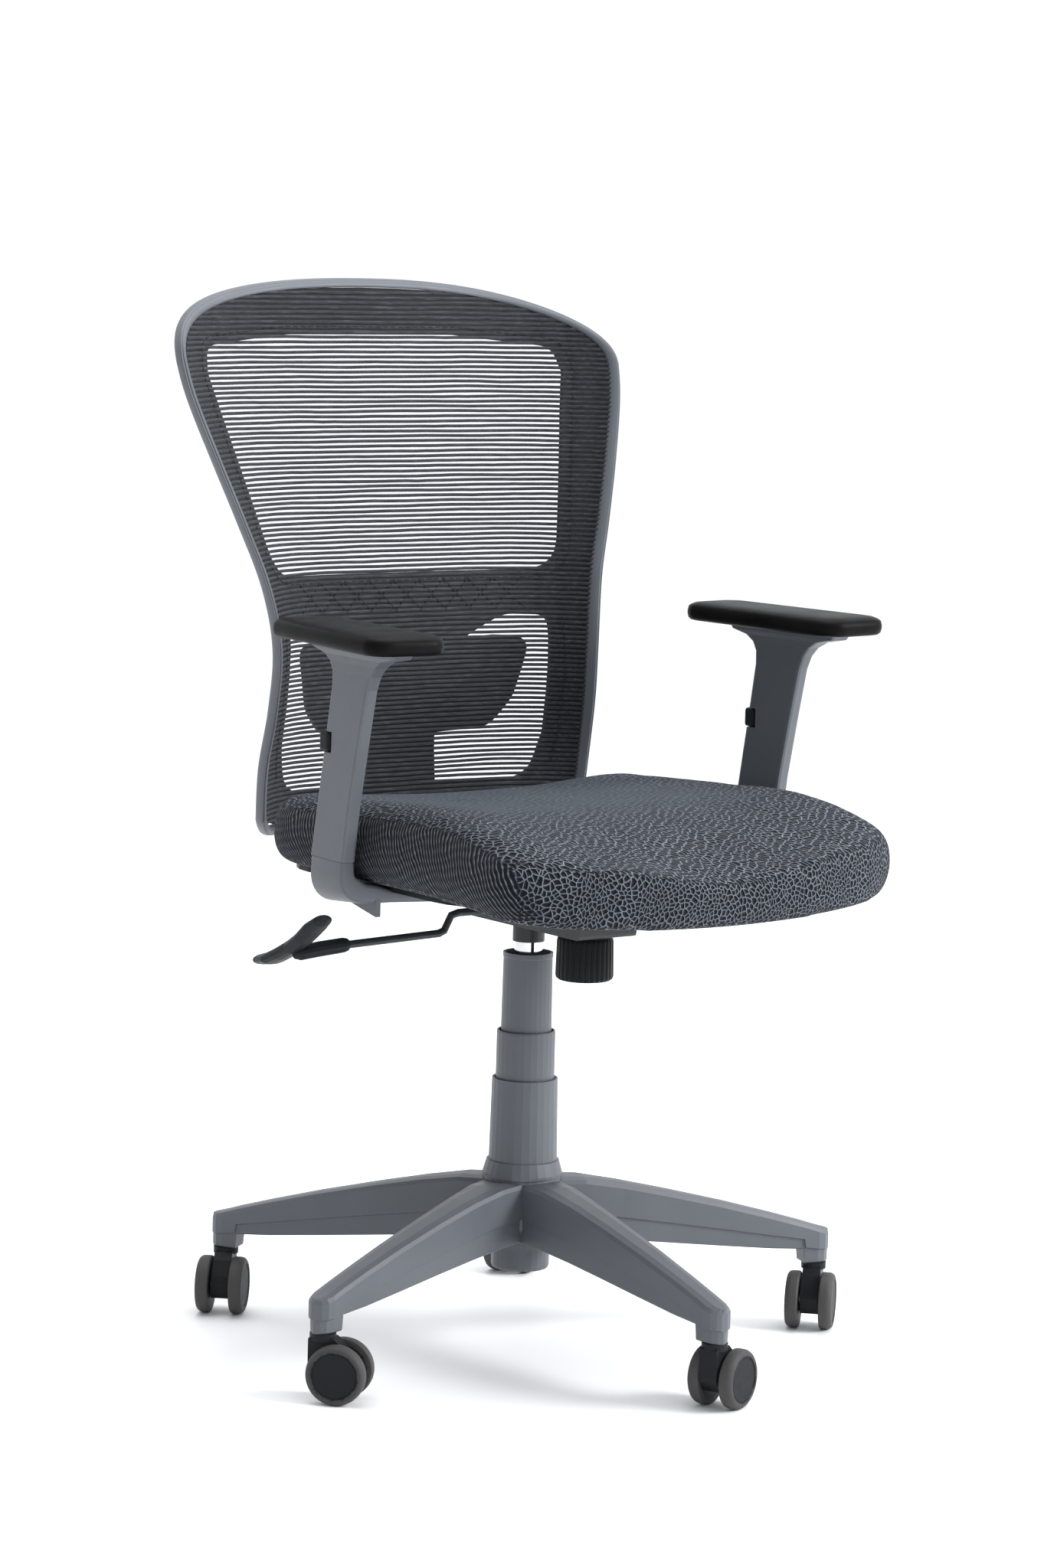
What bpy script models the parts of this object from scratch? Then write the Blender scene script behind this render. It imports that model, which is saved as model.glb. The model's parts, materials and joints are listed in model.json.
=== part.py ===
"""Swivel office chair with a mesh back, height-adjustable arms and a five-star base.

Metres, +Z up. The chair faces -Y and +X is the sitter's left. Shapes are written in the column frame,
whose Z axis is the gas lift's axis and whose origin is a little below the floor. The root empty shifts
them so that the origin is at the centre of the whole chair's box, on the floor.
"""

import math

import bmesh
import bpy
from mathutils import Matrix, Vector

# Driving dimensions
COLUMN_X = 0.0003  # column axis, from the centre of the chair's box
COLUMN_Y = 0.0012
FLOOR_Z = 0.0073  # the floor, in the column frame
GAP = 0.0003  # between pieces that touch
ROUND_STEPS = 28
SMALL_STEPS = 16

# Base and castors
STEM_CIRCLE = 0.310  # radius of the circle of castor stems
ARM_NAMES = ("front", "front_left", "rear_left", "rear_right", "front_right")
CASTOR_TURNS = {  # trailing direction of each castor, in degrees from +X
    "front": 22.8,
    "front_left": -136.0,
    "rear_left": -150.0,
    "rear_right": -133.2,
    "front_right": -48.2,
}
BLOCK_BOTTOM = 0.0723
BASE_TOP = 0.1732
WHEEL_R = 0.0285
WHEEL_Z = FLOOR_Z + WHEEL_R
WHEEL_W = 0.013
WHEEL_INNER = 0.0105  # from the castor's middle plane to a wheel's inner face
CASTOR_TRAIL = 0.017
AXLE_R = 0.004
STEM_R = 0.0055

# Gas lift and its covers
TUBE_R = 0.021
LIFT_R = 0.014
LIFT_TOP = 0.434
ROD_R = 0.005

# Mechanism
TILT_Y = -0.055
TILT_Z = 0.452
KNOB_Y = -0.092
LEVER_Y = -0.022
LEVER_Z = 0.4425
LEVER_R = 0.0038
BUSH_X = -0.038
HOUSING_HALF = 0.034
WALL = 0.0025

# Seat
SEAT_HALF = 0.239
SEAT_FRONT = -0.331
SEAT_REAR = 0.152
SEAT_CORNER = 0.070  # radius of the rear corners
SEAT_BOW = 0.076  # depth of the bowed front edge
SEAT_DROP = 0.0217  # how far the underside falls at the front
DROP_LENGTH = 0.147
SEAT_STATIONS = (-0.3306, -0.329, -0.325, -0.318, -0.307, -0.291, -0.273, -0.255, -0.225, -0.184, -0.13, -0.07,
                 0.0, 0.07, 0.10, 0.122, 0.138, 0.147, 0.1505, SEAT_REAR)
PLATE_TOP = 0.4745
SEAT_BOTTOM = PLATE_TOP + 0.0055 + GAP

# Back
BACK_BOTTOM = 0.492
BACK_SHOULDER = 0.955
BACK_TOP = 1.037
WRAPS = ((0.48, 0.046), (0.54, 0.051), (0.62, 0.059), (0.70, 0.061), (1.06, 0.061))  # depth of the wrap-around
RIM = 0.009
RIM_DEPTH = 0.016
BACK_WIDTHS = ((0.49, 0.195), (0.56, 0.198), (0.62, 0.1952), (0.68, 0.1939), (0.74, 0.2024),
               (0.80, 0.2214), (0.86, 0.2411), (0.92, 0.2587), (0.955, 0.2640), (1.05, 0.268))
BACK_EDGES = ((0.49, 0.178), (0.56, 0.1704), (0.62, 0.1583), (0.68, 0.1539), (0.74, 0.1629),
              (0.83, 0.1867), (0.95, 0.2253), (1.05, 0.259))

# Arms
ARM_X = 0.2535
ARM_T = 0.020
ARM_LEAN = -0.178  # forward lean, as dy/dz
ARM_REAR_Y = -0.0197  # rear edge of the upright at z = 0.6
ARM_HALF = 0.030  # half the upright's depth, fore and aft
ARM_TOE = 3.5  # degrees that the uprights turn outwards
JOINT_Z = 0.506
HEAD_TOP = 0.7085
PAD_Y = -0.062
PAD_LENGTH = 0.2214
PAD_WIDTH = 0.082
PAD_TOE = 5.25  # degrees outwards at the front
BUTTON_Z = 0.6155
BUTTON_HALF = 0.0095  # half the button's height
BUTTON_TRAVEL = 0.003
POST_BACK = 0.0315  # from the upright's rear edge to the middle of the post


def clear_scene():
    for obj in list(bpy.data.objects):
        bpy.data.objects.remove(obj, do_unlink=True)


def new_collection(name):
    made = bpy.data.collections.new(name)
    bpy.context.scene.collection.children.link(made)
    return made


def new_material(name, colour, roughness, metallic=0.0):
    made = bpy.data.materials.new(name)
    made.use_nodes = True
    shader = made.node_tree.nodes["Principled BSDF"]
    shader.inputs["Base Color"].default_value = (*colour, 1.0)
    shader.inputs["Roughness"].default_value = roughness
    shader.inputs["Metallic"].default_value = metallic
    return made


clear_scene()
PARTS = new_collection("swivel_office_chair")
CUTTERS = new_collection("cutters")


def empty(name, location, parent=None, turn=0.0):
    """An empty at a place of the column frame. Only the castors' empties are turned."""
    made = bpy.data.objects.new(name, None)
    PARTS.objects.link(made)
    made["at"] = tuple(location)
    start = Vector(parent["at"]) if parent else Vector((0, 0, 0))
    made.parent = parent
    made.location = Vector(location) - start
    made.rotation_euler = (0, 0, math.radians(turn))
    return made


def add(name, mesh, material, parent, pivot=None):
    """A part whose mesh is in the column frame, with its origin at pivot or at its parent."""
    start = Vector(parent["at"])
    pivot = Vector(pivot) if pivot else start
    mesh.transform(Matrix.Translation(-pivot))
    return place(name, mesh, material, parent, pivot - start)


def place(name, mesh, material, parent, location=(0, 0, 0), rotation=(0, 0, 0)):
    """A part whose mesh is in its own frame, placed in its parent's."""
    mesh.name = name
    made = bpy.data.objects.new(name, mesh)
    PARTS.objects.link(made)
    made.parent = parent
    made.location = location
    made.rotation_euler = rotation
    made.data.materials.clear()
    made.data.materials.append(material)
    made.data.shade_smooth()
    made.data.set_sharp_from_angle(angle=math.radians(35))
    return made


def helper(name, mesh):
    """A cutter or a piece that a Boolean joins."""
    made = bpy.data.objects.new(name, mesh)
    CUTTERS.objects.link(made)
    made.hide_render = True
    made.display_type = "WIRE"
    return made


def boolean(mesh, others, operation="DIFFERENCE"):
    """The mesh with others cut away, joined or intersected, as a new mesh."""
    made = helper("work", mesh)
    for other in others:
        modifier = made.modifiers.new("boolean", "BOOLEAN")
        modifier.operation = operation
        modifier.solver = "EXACT"
        modifier.object = helper("tool", other)
    return evaluated(made)


def evaluated(obj):
    """The mesh of an object with its modifiers, welded, and the object removed."""
    bpy.context.view_layer.update()
    graph = bpy.context.evaluated_depsgraph_get()
    mesh = bpy.data.meshes.new_from_object(obj.evaluated_get(graph))
    tools = [m.object for m in obj.modifiers if m.type == "BOOLEAN"]
    for used in [obj] + tools:
        bpy.data.objects.remove(used, do_unlink=True)
    return welded(mesh)


def welded(mesh, distance=0.00001):
    bm = bmesh.new()
    bm.from_mesh(mesh)
    bmesh.ops.remove_doubles(bm, verts=bm.verts, dist=distance)
    bmesh.ops.recalc_face_normals(bm, faces=bm.faces)
    bm.to_mesh(mesh)
    bm.free()
    return mesh


def turned(profile, steps=ROUND_STEPS, closed=False):
    """A solid of revolution about Z from (radius, z) points that run down the outer side."""
    mesh = bpy.data.meshes.new("turned")
    count = len(profile)
    edges = [(i, i + 1) for i in range(count - 1)]
    if closed:
        edges.append((count - 1, 0))
    mesh.from_pydata([(r, 0, z) for r, z in profile], edges, [])
    made = helper("turned", mesh)
    screw = made.modifiers.new("screw", "SCREW")
    screw.axis = "Z"
    screw.steps = steps
    screw.render_steps = steps
    screw.use_merge_vertices = True
    screw.merge_threshold = 0.00001
    return evaluated(made)


def ring(outer, inner, low, high, steps=ROUND_STEPS):
    """A plain tube."""
    return turned(((outer, high), (outer, low), (inner, low), (inner, high)), steps, True)


def rod(radius, low, high, steps=SMALL_STEPS):
    """A plain cylinder on the Z axis."""
    mesh = bpy.data.meshes.new("rod")
    bm = bmesh.new()
    bmesh.ops.create_cone(
        bm, cap_ends=True, segments=steps, radius1=radius, radius2=radius, depth=high - low,
        matrix=Matrix.Translation((0, 0, (low + high) / 2)),
    )
    bm.to_mesh(mesh)
    bm.free()
    return mesh


def along_x(mesh, x, y, z):
    """Turns a mesh from the Z axis onto X and moves it."""
    mesh.transform(Matrix.Translation((x, y, z)) @ Matrix.Rotation(math.pi / 2, 4, "Y"))
    return mesh


def box(low, high, bevel=0.0):
    """A box between two corners, with rounded edges where bevel is given."""
    size = Vector(high) - Vector(low)
    middle = (Vector(high) + Vector(low)) / 2
    mesh = bpy.data.meshes.new("box")
    bm = bmesh.new()
    bmesh.ops.create_cube(bm, size=1.0, matrix=Matrix.Translation(middle) @ Matrix.Diagonal((*size, 1)))
    if bevel:
        bmesh.ops.bevel(bm, geom=bm.edges[:], offset=bevel, segments=2, profile=0.5, affect="EDGES")
    bm.to_mesh(mesh)
    bm.free()
    return mesh


def fillet(corners, steps=5):
    """A closed polygon from (u, v, radius) corners, each rounded by an arc-like curve."""
    points = []
    count = len(corners)
    for i, (u, v, radius) in enumerate(corners):
        here = Vector((u, v))
        before = Vector(corners[i - 1][:2]) - here
        after = Vector(corners[(i + 1) % count][:2]) - here
        if not radius:
            points.append(tuple(here))
            continue
        half = before.angle(after) / 2
        reach = min(radius / math.tan(half), before.length * 0.49, after.length * 0.49)
        start = here + before.normalized() * reach
        end = here + after.normalized() * reach
        for k in range(steps + 1):
            t = k / steps
            points.append(tuple(start * (1 - t) ** 2 + here * 2 * t * (1 - t) + end * t ** 2))
    return points


def prism(loops, low, high, plane="XZ"):
    """A flat outline with its holes, drawn as a 2D curve and extruded across plane from low to high."""
    data = bpy.data.curves.new("outline", "CURVE")
    data.dimensions = "2D"
    data.fill_mode = "BOTH"
    data.extrude = (high - low) / 2
    for loop in loops:
        spline = data.splines.new("POLY")
        spline.points.add(len(loop) - 1)
        for point, (u, v) in zip(spline.points, loop):
            point.co = (u, v, 0, 1)
        spline.use_cyclic_u = True
    mesh = evaluated(helper("outline", data))
    middle = (low + high) / 2
    if plane == "XZ":  # u is X, v is Z
        turn = Matrix(((1, 0, 0, 0), (0, 0, 1, middle), (0, 1, 0, 0), (0, 0, 0, 1)))
    elif plane == "YZ":  # u is Y, v is Z
        turn = Matrix(((0, 0, 1, middle), (1, 0, 0, 0), (0, 1, 0, 0), (0, 0, 0, 1)))
    else:  # u is X, v is Y
        turn = Matrix.Translation((0, 0, middle))
    mesh.transform(turn)
    return welded(mesh)


def loft(rings):
    """A closed skin through rings of equal length, capped at both ends."""
    mesh = bpy.data.meshes.new("loft")
    bm = bmesh.new()
    rows = [[bm.verts.new(p) for p in points] for points in rings]
    for first, second in zip(rows, rows[1:]):
        for i in range(len(first)):
            j = (i + 1) % len(first)
            bm.faces.new((first[i], first[j], second[j], second[i]))
    bm.faces.new(rows[0])
    bm.faces.new(rows[-1])
    bmesh.ops.recalc_face_normals(bm, faces=bm.faces)
    bm.to_mesh(mesh)
    bm.free()
    return mesh


def rounded_rect(half_u, half_v, radius, steps=3):
    """Points around a rectangle with round corners, centred on (0, 0)."""
    points = []
    for quarter, (su, sv) in enumerate(((1, 1), (-1, 1), (-1, -1), (1, -1))):
        for k in range(steps + 1):
            t = math.radians(90 * (quarter + k / steps))
            u = su * (half_u - radius) + radius * math.cos(t)
            v = sv * (half_v - radius) + radius * math.sin(t)
            points.append((u, v))
    return points


def sweep(path, sections):
    """A loft along (x, z) path points: sections give (centre y, half width, half thickness, radius)."""
    rings = []
    last = len(path) - 1
    for i, ((x, z), (y, half_w, half_t, radius)) in enumerate(zip(path, sections)):
        ahead = Vector(path[min(i + 1, last)]) - Vector(path[max(i - 1, 0)])
        across = Vector((-ahead.y, ahead.x)).normalized()
        points = rounded_rect(half_w, half_t, radius, 2)
        rings.append([(x + across.x * v, y + u, z + across.y * v) for u, v in points])
    return loft(rings)


def smooth_value(points, at):
    """Cubic interpolation through (place, value) points."""
    last = len(points) - 1
    i = max(0, min(last - 1, sum(1 for p, _ in points if p <= at) - 1))

    def slope(k):
        a, b = points[max(k - 1, 0)], points[min(k + 1, last)]
        return (b[1] - a[1]) / (b[0] - a[0])

    (p0, v0), (p1, v1) = points[i], points[i + 1]
    span = p1 - p0
    t = max(0.0, min(1.0, (at - p0) / span))
    curve = (2 * t ** 3 - 3 * t ** 2 + 1) * v0 + (3 * t ** 2 - 2 * t ** 3) * v1
    return curve + span * ((t ** 3 - 2 * t ** 2 + t) * slope(i) + (t ** 3 - t ** 2) * slope(i + 1))


# Materials
GREY = new_material("grey_plastic", (0.13, 0.145, 0.165), 0.45)
DARK = new_material("black_plastic", (0.016, 0.017, 0.019), 0.5)
STEEL = new_material("black_steel", (0.03, 0.03, 0.032), 0.4, 0.6)
ZINC = new_material("zinc_steel", (0.5, 0.5, 0.5), 0.35, 1.0)
CHROME = new_material("chrome", (0.75, 0.76, 0.78), 0.12, 1.0)
TREAD = new_material("wheel_tread", (0.055, 0.053, 0.052), 0.6)
PAD = new_material("pad_foam", (0.018, 0.016, 0.016), 0.5)
CLOTH = new_material("seat_fabric", (0.06, 0.07, 0.09), 0.9)
NET = new_material("back_net", (0.02, 0.021, 0.024), 0.8)
NYLON = new_material("nylon", (0.7, 0.7, 0.66), 0.5)

ROOT = empty("chair", (0, 0, 0))
ROOT.location = (COLUMN_X, COLUMN_Y, -FLOOR_Z)


# Base
def base_arm(turn):
    """One tapered leg with a stepped side and the block that holds the castor's stem."""
    rings = []
    stations = (
        (0.026, 0.1700, 0.1120, 0.048), (0.060, 0.1685, 0.1100, 0.044), (0.100, 0.1615, 0.1060, 0.038),
        (0.150, 0.1505, 0.1005, 0.034), (0.210, 0.1360, 0.0940, 0.031), (0.260, 0.1225, 0.0890, 0.029),
        (0.2945, 0.1125, 0.0868, 0.028), (0.2960, 0.1120, BLOCK_BOTTOM, 0.028),
        (0.3100, 0.1075, BLOCK_BOTTOM, 0.028), (0.3172, 0.1055, BLOCK_BOTTOM, 0.0242),
        (0.3216, 0.1045, BLOCK_BOTTOM, 0.0155), (0.3238, 0.1035, BLOCK_BOTTOM, 0.007),
    )
    for r, top, bottom, width in stations:
        half = width / 2
        step = bottom + (top - bottom) * 0.42
        low = half - 0.0025
        side = ((low - 0.001, bottom), (low, bottom + 0.0012), (low + 0.0004, step - 0.001), (half, step),
                (half, top - 0.0035), (half - 0.0025, top), (half * 0.4, top + 0.0014))
        outline = [(y, z) for y, z in side] + [(-y, z) for y, z in reversed(side)]
        rings.append([(y, -r, z) for y, z in outline])
    mesh = loft(rings)
    mesh.transform(Matrix.Rotation(math.radians(turn), 4, "Z"))
    return mesh


def base_hub():
    return turned((
        (0.010, BASE_TOP), (0.0372, BASE_TOP), (0.0385, 0.1680), (0.0385, 0.1250), (0.0305, 0.1100),
        (0.0285, 0.1020), (0.0285, 0.0835), (0.0272, 0.0812), (0.010, 0.0812),
    ), closed=True)


def make_base():
    turns = [72 * i for i in range(5)]
    body = boolean(base_hub(), [base_arm(turn) for turn in turns], "UNION")
    bores = [rod(TUBE_R + GAP, 0.05, 0.20, ROUND_STEPS)]
    for turn in turns:
        bore = rod(STEM_R + GAP, 0.05, 0.0985)
        angle = math.radians(turn)
        bore.transform(Matrix.Translation((STEM_CIRCLE * math.sin(angle), -STEM_CIRCLE * math.cos(angle), 0)))
        bores.append(bore)
    add("base_star", boolean(body, bores), GREY, ROOT)


# Castors
def castor_housing():
    """The body between a castor's wheels, with its stem collar, an axle hole and a stem hole."""
    side = fillet((
        (-0.0120, 0.0680, 0.002), (-0.0120, 0.0360, 0.010), (0.0040, 0.0225, 0.010),
        (0.0290, 0.0225, 0.010), (0.0350, 0.0420, 0.012), (0.0200, 0.0610, 0.012), (0.0120, 0.0680, 0.003),
    ), 3)
    plate = prism([side], -0.009, 0.009)
    collar = rod(0.0125, 0.0650, 0.0718, 20)
    body = boolean(plate, [collar], "UNION")
    axle = rod(AXLE_R + GAP, -0.02, 0.02)
    axle.transform(Matrix.Translation((CASTOR_TRAIL, 0, WHEEL_Z)) @ Matrix.Rotation(math.pi / 2, 4, "X"))
    return boolean(body, [axle, rod(STEM_R + GAP, 0.046, 0.08)])


def castor_wheel():
    """A wheel on the Z axis, with its outer face up and a blind bore in its inner face."""
    face = WHEEL_W - 0.0008
    bore = AXLE_R + GAP
    return turned((
        (0, face), (0.0212, face), (0.0220, WHEEL_W), (0.0254, WHEEL_W), (WHEEL_R, WHEEL_W - 0.0030),
        (WHEEL_R, 0.0014), (WHEEL_R - 0.0014, 0), (bore, 0), (bore, 0.0090), (0, 0.0090),
    ))


def make_castor(index, name):
    angle = math.radians(72 * index)
    at = (STEM_CIRCLE * math.sin(angle), -STEM_CIRCLE * math.cos(angle), 0)
    swivel = empty(f"castor_{name}_swivel", at, ROOT, CASTOR_TURNS[name])
    place(f"castor_{name}_housing", castor_housing(), DARK, swivel)
    place(f"castor_{name}_stem", rod(STEM_R, 0.0465, 0.0975), ZINC, swivel)
    middle = Vector((CASTOR_TRAIL, 0, WHEEL_Z))
    half = WHEEL_INNER + 0.0085
    place(f"castor_{name}_axle", rod(AXLE_R, -half, half), ZINC, swivel, middle, (math.pi / 2, 0, 0))
    for side, sign in (("left", 1), ("right", -1)):
        place(
            f"castor_{name}_wheel_{side}", castor_wheel(), TREAD, swivel,
            middle + Vector((0, sign * WHEEL_INNER, 0)), (-sign * math.pi / 2, 0, 0),
        )


# Gas lift and telescopic covers
def make_lift():
    wall = 0.002
    inner = TUBE_R - wall
    tube = ((TUBE_R, 0.296), (TUBE_R, 0.0805), (ROD_R + GAP, 0.0805), (ROD_R + GAP, 0.0845),
            (inner, 0.0845), (inner, 0.296))
    add("lift_tube", turned(tube, closed=True), STEEL, ROOT)
    add("lift_guide_bush", ring(inner - GAP, LIFT_R + GAP, 0.215, 0.293), NYLON, ROOT)
    add("lift_thrust_bearing", ring(0.0165, ROD_R + GAP, 0.0848, 0.0925), ZINC, ROOT)
    bore = 0.0101
    rod_profile = ((0, 0.300), (bore - GAP, 0.300), (bore - GAP, 0.292), (ROD_R, 0.292),
                   (ROD_R, 0.0790), (0, 0.0790))
    add("lift_rod", turned(rod_profile, SMALL_STEPS), ZINC, ROOT)
    pin = 0.003
    cylinder = ((pin + GAP, LIFT_TOP), (LIFT_R - 0.001, LIFT_TOP), (LIFT_R, LIFT_TOP - 0.001),
                (LIFT_R, 0.150), (bore, 0.150), (bore, 0.380), (pin + GAP, 0.380))
    add("lift_cylinder", turned(cylinder, closed=True), CHROME, ROOT)
    add("lift_release_pin", rod(pin, 0.395, LIFT_TOP + 0.0045), ZINC, ROOT)


def make_covers():
    lower = ((0.0322, 0.2700), (0.0336, 0.1895), (0.0356, 0.1890), (0.0392, 0.1765), (0.0392, 0.1735),
             (0.0297, 0.1735), (0.0297, 0.2690), (0.0302, 0.2700))
    add("cover_lower", turned(lower, closed=True), GREY, ROOT)
    middle = ((0.0283, 0.3170), (0.0287, 0.3150), (0.0289, 0.2220), (0.0268, 0.2220), (0.0268, 0.3170))
    add("cover_middle", turned(middle, closed=True), GREY, ROOT)
    upper = ((0.0246, 0.3940), (0.0246, 0.3900), (0.0241, 0.3890), (0.0252, 0.2820), (0.0250, 0.2800),
             (0.0232, 0.2800), (0.0226, 0.3820), (LIFT_R + GAP, 0.3820), (LIFT_R + GAP, 0.3850),
             (0.0226, 0.3850), (0.0226, 0.3940))
    add("cover_upper", turned(upper, closed=True), GREY, ROOT)


# Tilt mechanism
def make_mechanism():
    outside = fillet(((-0.128, 0.4250, 0.004), (0.055, 0.4250, 0.004), (0.055, 0.4400, 0.002),
                      (-0.030, 0.4615, 0.004), (-0.128, 0.4615, 0.003)), 2)
    inside = ((-0.1255, 0.4275), (0.0525, 0.4275), (0.0525, 0.5), (-0.1255, 0.5))
    shell = prism([outside], -HOUSING_HALF, HOUSING_HALF, "YZ")
    hollow = prism([inside], WALL - HOUSING_HALF, HOUSING_HALF - WALL, "YZ")
    body = boolean(shell, [hollow])
    body = boolean(body, [rod(0.0157, 0.405, 0.4265, 24), rod(0.0185, 0.4255, 0.4335, 24)], "UNION")
    bolt = rod(ROD_R + GAP, 0.40, 0.44)
    bolt.transform(Matrix.Translation((0, KNOB_Y, 0)))
    bush = along_x(rod(0.0084, -0.01, 0.01), -HOUSING_HALF, LEVER_Y, LEVER_Z)  # room for the bush to rock
    axle = along_x(rod(ROD_R + GAP, -0.06, 0.06), 0, TILT_Y, TILT_Z)
    body = boolean(body, [rod(LIFT_R + GAP, 0.39, 0.445, ROUND_STEPS), bolt, bush, axle])
    add("mechanism_housing", body, STEEL, ROOT)


def make_seat_plate(parent):
    plate = box((-0.075, -0.130, PLATE_TOP - 0.004), (0.075, 0.100, PLATE_TOP))
    inner = HOUSING_HALF + 0.002
    lugs = []
    for sign in (-1, 1):
        side = fillet(((-0.070, 0.4720, 0), (-0.066, 0.4430, 0.006), (-0.044, 0.4430, 0.006),
                       (-0.040, 0.4720, 0)), 3)
        low, high = sorted((sign * inner, sign * (inner + 0.003)))
        lugs.append(prism([side], low, high, "YZ"))
    body = boolean(plate, lugs, "UNION")
    hole = along_x(rod(ROD_R + GAP, -0.06, 0.06), 0, TILT_Y, TILT_Z)
    add("seat_plate", boolean(body, [hole]), STEEL, parent)


def make_tilt_axle(parent):
    profile = ((0, 0.0455), (0.0085, 0.0455), (0.0085, 0.0420), (ROD_R, 0.0420), (ROD_R, -0.0435), (0, -0.0435))
    add("tilt_axle", along_x(turned(profile, SMALL_STEPS), 0, TILT_Y, TILT_Z), ZINC, parent)


def make_tension():
    """The tension knob with its bolt, and the spring that it loads."""
    centre = empty("tension_knob_axis", (0, KNOB_Y, 0), ROOT)
    knob = ((0, 0.4000), (ROD_R + GAP, 0.4000), (ROD_R + GAP, 0.4225), (0.0262, 0.4225), (0.0276, 0.4200),
            (0.0284, 0.3850), (0.0262, 0.3815), (0.0220, 0.3805), (0, 0.3805))
    place("tension_knob", turned(knob), DARK, centre)
    place("tension_bolt", rod(ROD_R, 0.4003, 0.4600), ZINC, centre)
    data = bpy.data.curves.new("coil", "CURVE")
    data.dimensions = "3D"
    data.fill_mode = "FULL"
    data.bevel_depth = 0.0016
    data.bevel_resolution = 1
    data.use_fill_caps = True
    turns, per_turn, radius = 4, 12, 0.0115
    count = turns * per_turn + 1
    spline = data.splines.new("POLY")
    spline.points.add(count - 1)
    for i, point in enumerate(spline.points):
        angle = 2 * math.pi * i / per_turn
        height = 0.4300 + 0.0230 * i / (count - 1)
        point.co = (radius * math.cos(angle), radius * math.sin(angle) + KNOB_Y, height, 1)
    add("tension_spring", evaluated(helper("coil", data)), ZINC, ROOT)


def make_lever():
    """The lever: a bush in the housing's side, a cranked rod with a flat inner end, and a twisted paddle."""
    pivot = (BUSH_X, LEVER_Y, LEVER_Z)
    bush = along_x(ring(0.0072, LEVER_R + GAP, -0.0060, 0.0050, SMALL_STEPS), BUSH_X, LEVER_Y, LEVER_Z)
    add("lever_bush", bush, NYLON, ROOT, pivot)
    data = bpy.data.curves.new("rod", "CURVE")
    data.dimensions = "3D"
    data.fill_mode = "FULL"
    data.bevel_depth = LEVER_R
    data.bevel_resolution = 3
    data.use_fill_caps = True
    route = ((-0.005, LEVER_Z), (-0.100, LEVER_Z), (-0.1085, LEVER_Z - 0.0020), (-0.1165, 0.4262),
             (-0.1225, 0.4240), (-0.2400, 0.4205))
    spline = data.splines.new("POLY")
    spline.points.add(len(route) - 1)
    for point, (x, z) in zip(spline.points, route):
        point.co = (x, LEVER_Y, z, 1)
    crank = evaluated(helper("rod", data))
    end = box((-0.012, LEVER_Y - 0.005, LEVER_Z - 0.0035), (0.016, 0.006, LEVER_Z + 0.0030), 0.0008)
    add("lever_rod", boolean(crank, [end], "UNION"), STEEL, ROOT, pivot)
    add("lever_paddle", paddle_mesh(), DARK, ROOT, pivot)


def paddle_mesh():
    """A sleeve over the rod's end and a saddle-shaped handle with a raised front and a low rear."""
    sleeve_points = ((-0.2280, 0.4209, 0.0062), (-0.2320, 0.4208, 0.0072), (-0.2600, 0.4190, 0.0074),
                     (-0.2800, 0.4170, 0.0072), (-0.2860, 0.4165, 0.0050))
    sleeve = loft([
        [(x, LEVER_Y + r * math.cos(a), z + r * math.sin(a)) for a in [math.tau * k / 14 for k in range(14)]]
        for x, z, r in sleeve_points
    ])
    stations = ((-0.0500, 0.4560, 0.004, 0.0030), (-0.0460, 0.4545, 0.011, 0.0055), (-0.0340, 0.4470, 0.014, 0.0065),
                (-0.0180, 0.4350, 0.013, 0.0070), (0.0000, 0.4240, 0.012, 0.0075), (0.0180, 0.4150, 0.014, 0.0070),
                (0.0340, 0.4080, 0.016, 0.0065), (0.0500, 0.4045, 0.014, 0.0055), (0.0550, 0.4040, 0.005, 0.0030))
    rings = []
    for y, z, half_w, half_t in stations:
        loop = [math.tau * k / 14 for k in range(14)]
        rings.append([(-0.2870 + half_w * math.cos(a), LEVER_Y + y, z + half_t * math.sin(a)) for a in loop])
    body = boolean(loft(rings), [sleeve], "UNION")
    bore = along_x(rod(LEVER_R + GAP, -0.0300, 0.0300), -0.2110, LEVER_Y, 0.4214)
    tip = rod(LEVER_R + 0.0008, -0.0200, 0.0160)
    return boolean(body, [along_x(tip, -0.2260, LEVER_Y, 0.4208), bore])


# Seat
def make_seat(parent):
    pan = fillet(((-0.205, -0.180, 0.050), (0.205, -0.180, 0.050), (0.205, 0.132, 0.050), (-0.205, 0.132, 0.050)))
    low = PLATE_TOP + GAP
    body = prism([pan], low, low + 0.005, "XY")
    add("seat_pan", body, DARK, parent)
    add("seat_cushion", loft([seat_section(y) for y in SEAT_STATIONS]), CLOTH, parent)


def seat_width(y):
    """Half the seat's width at y: a bowed front edge, straight sides and rounded rear corners."""
    front = max(0.0, 1 - (y - SEAT_FRONT) / SEAT_BOW)
    past = max(0.0, y - SEAT_REAR + SEAT_CORNER)
    rear = SEAT_CORNER - math.sqrt(max(0.0, SEAT_CORNER ** 2 - past ** 2))
    return SEAT_HALF * math.sqrt(1 - front ** 2) - rear


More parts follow.
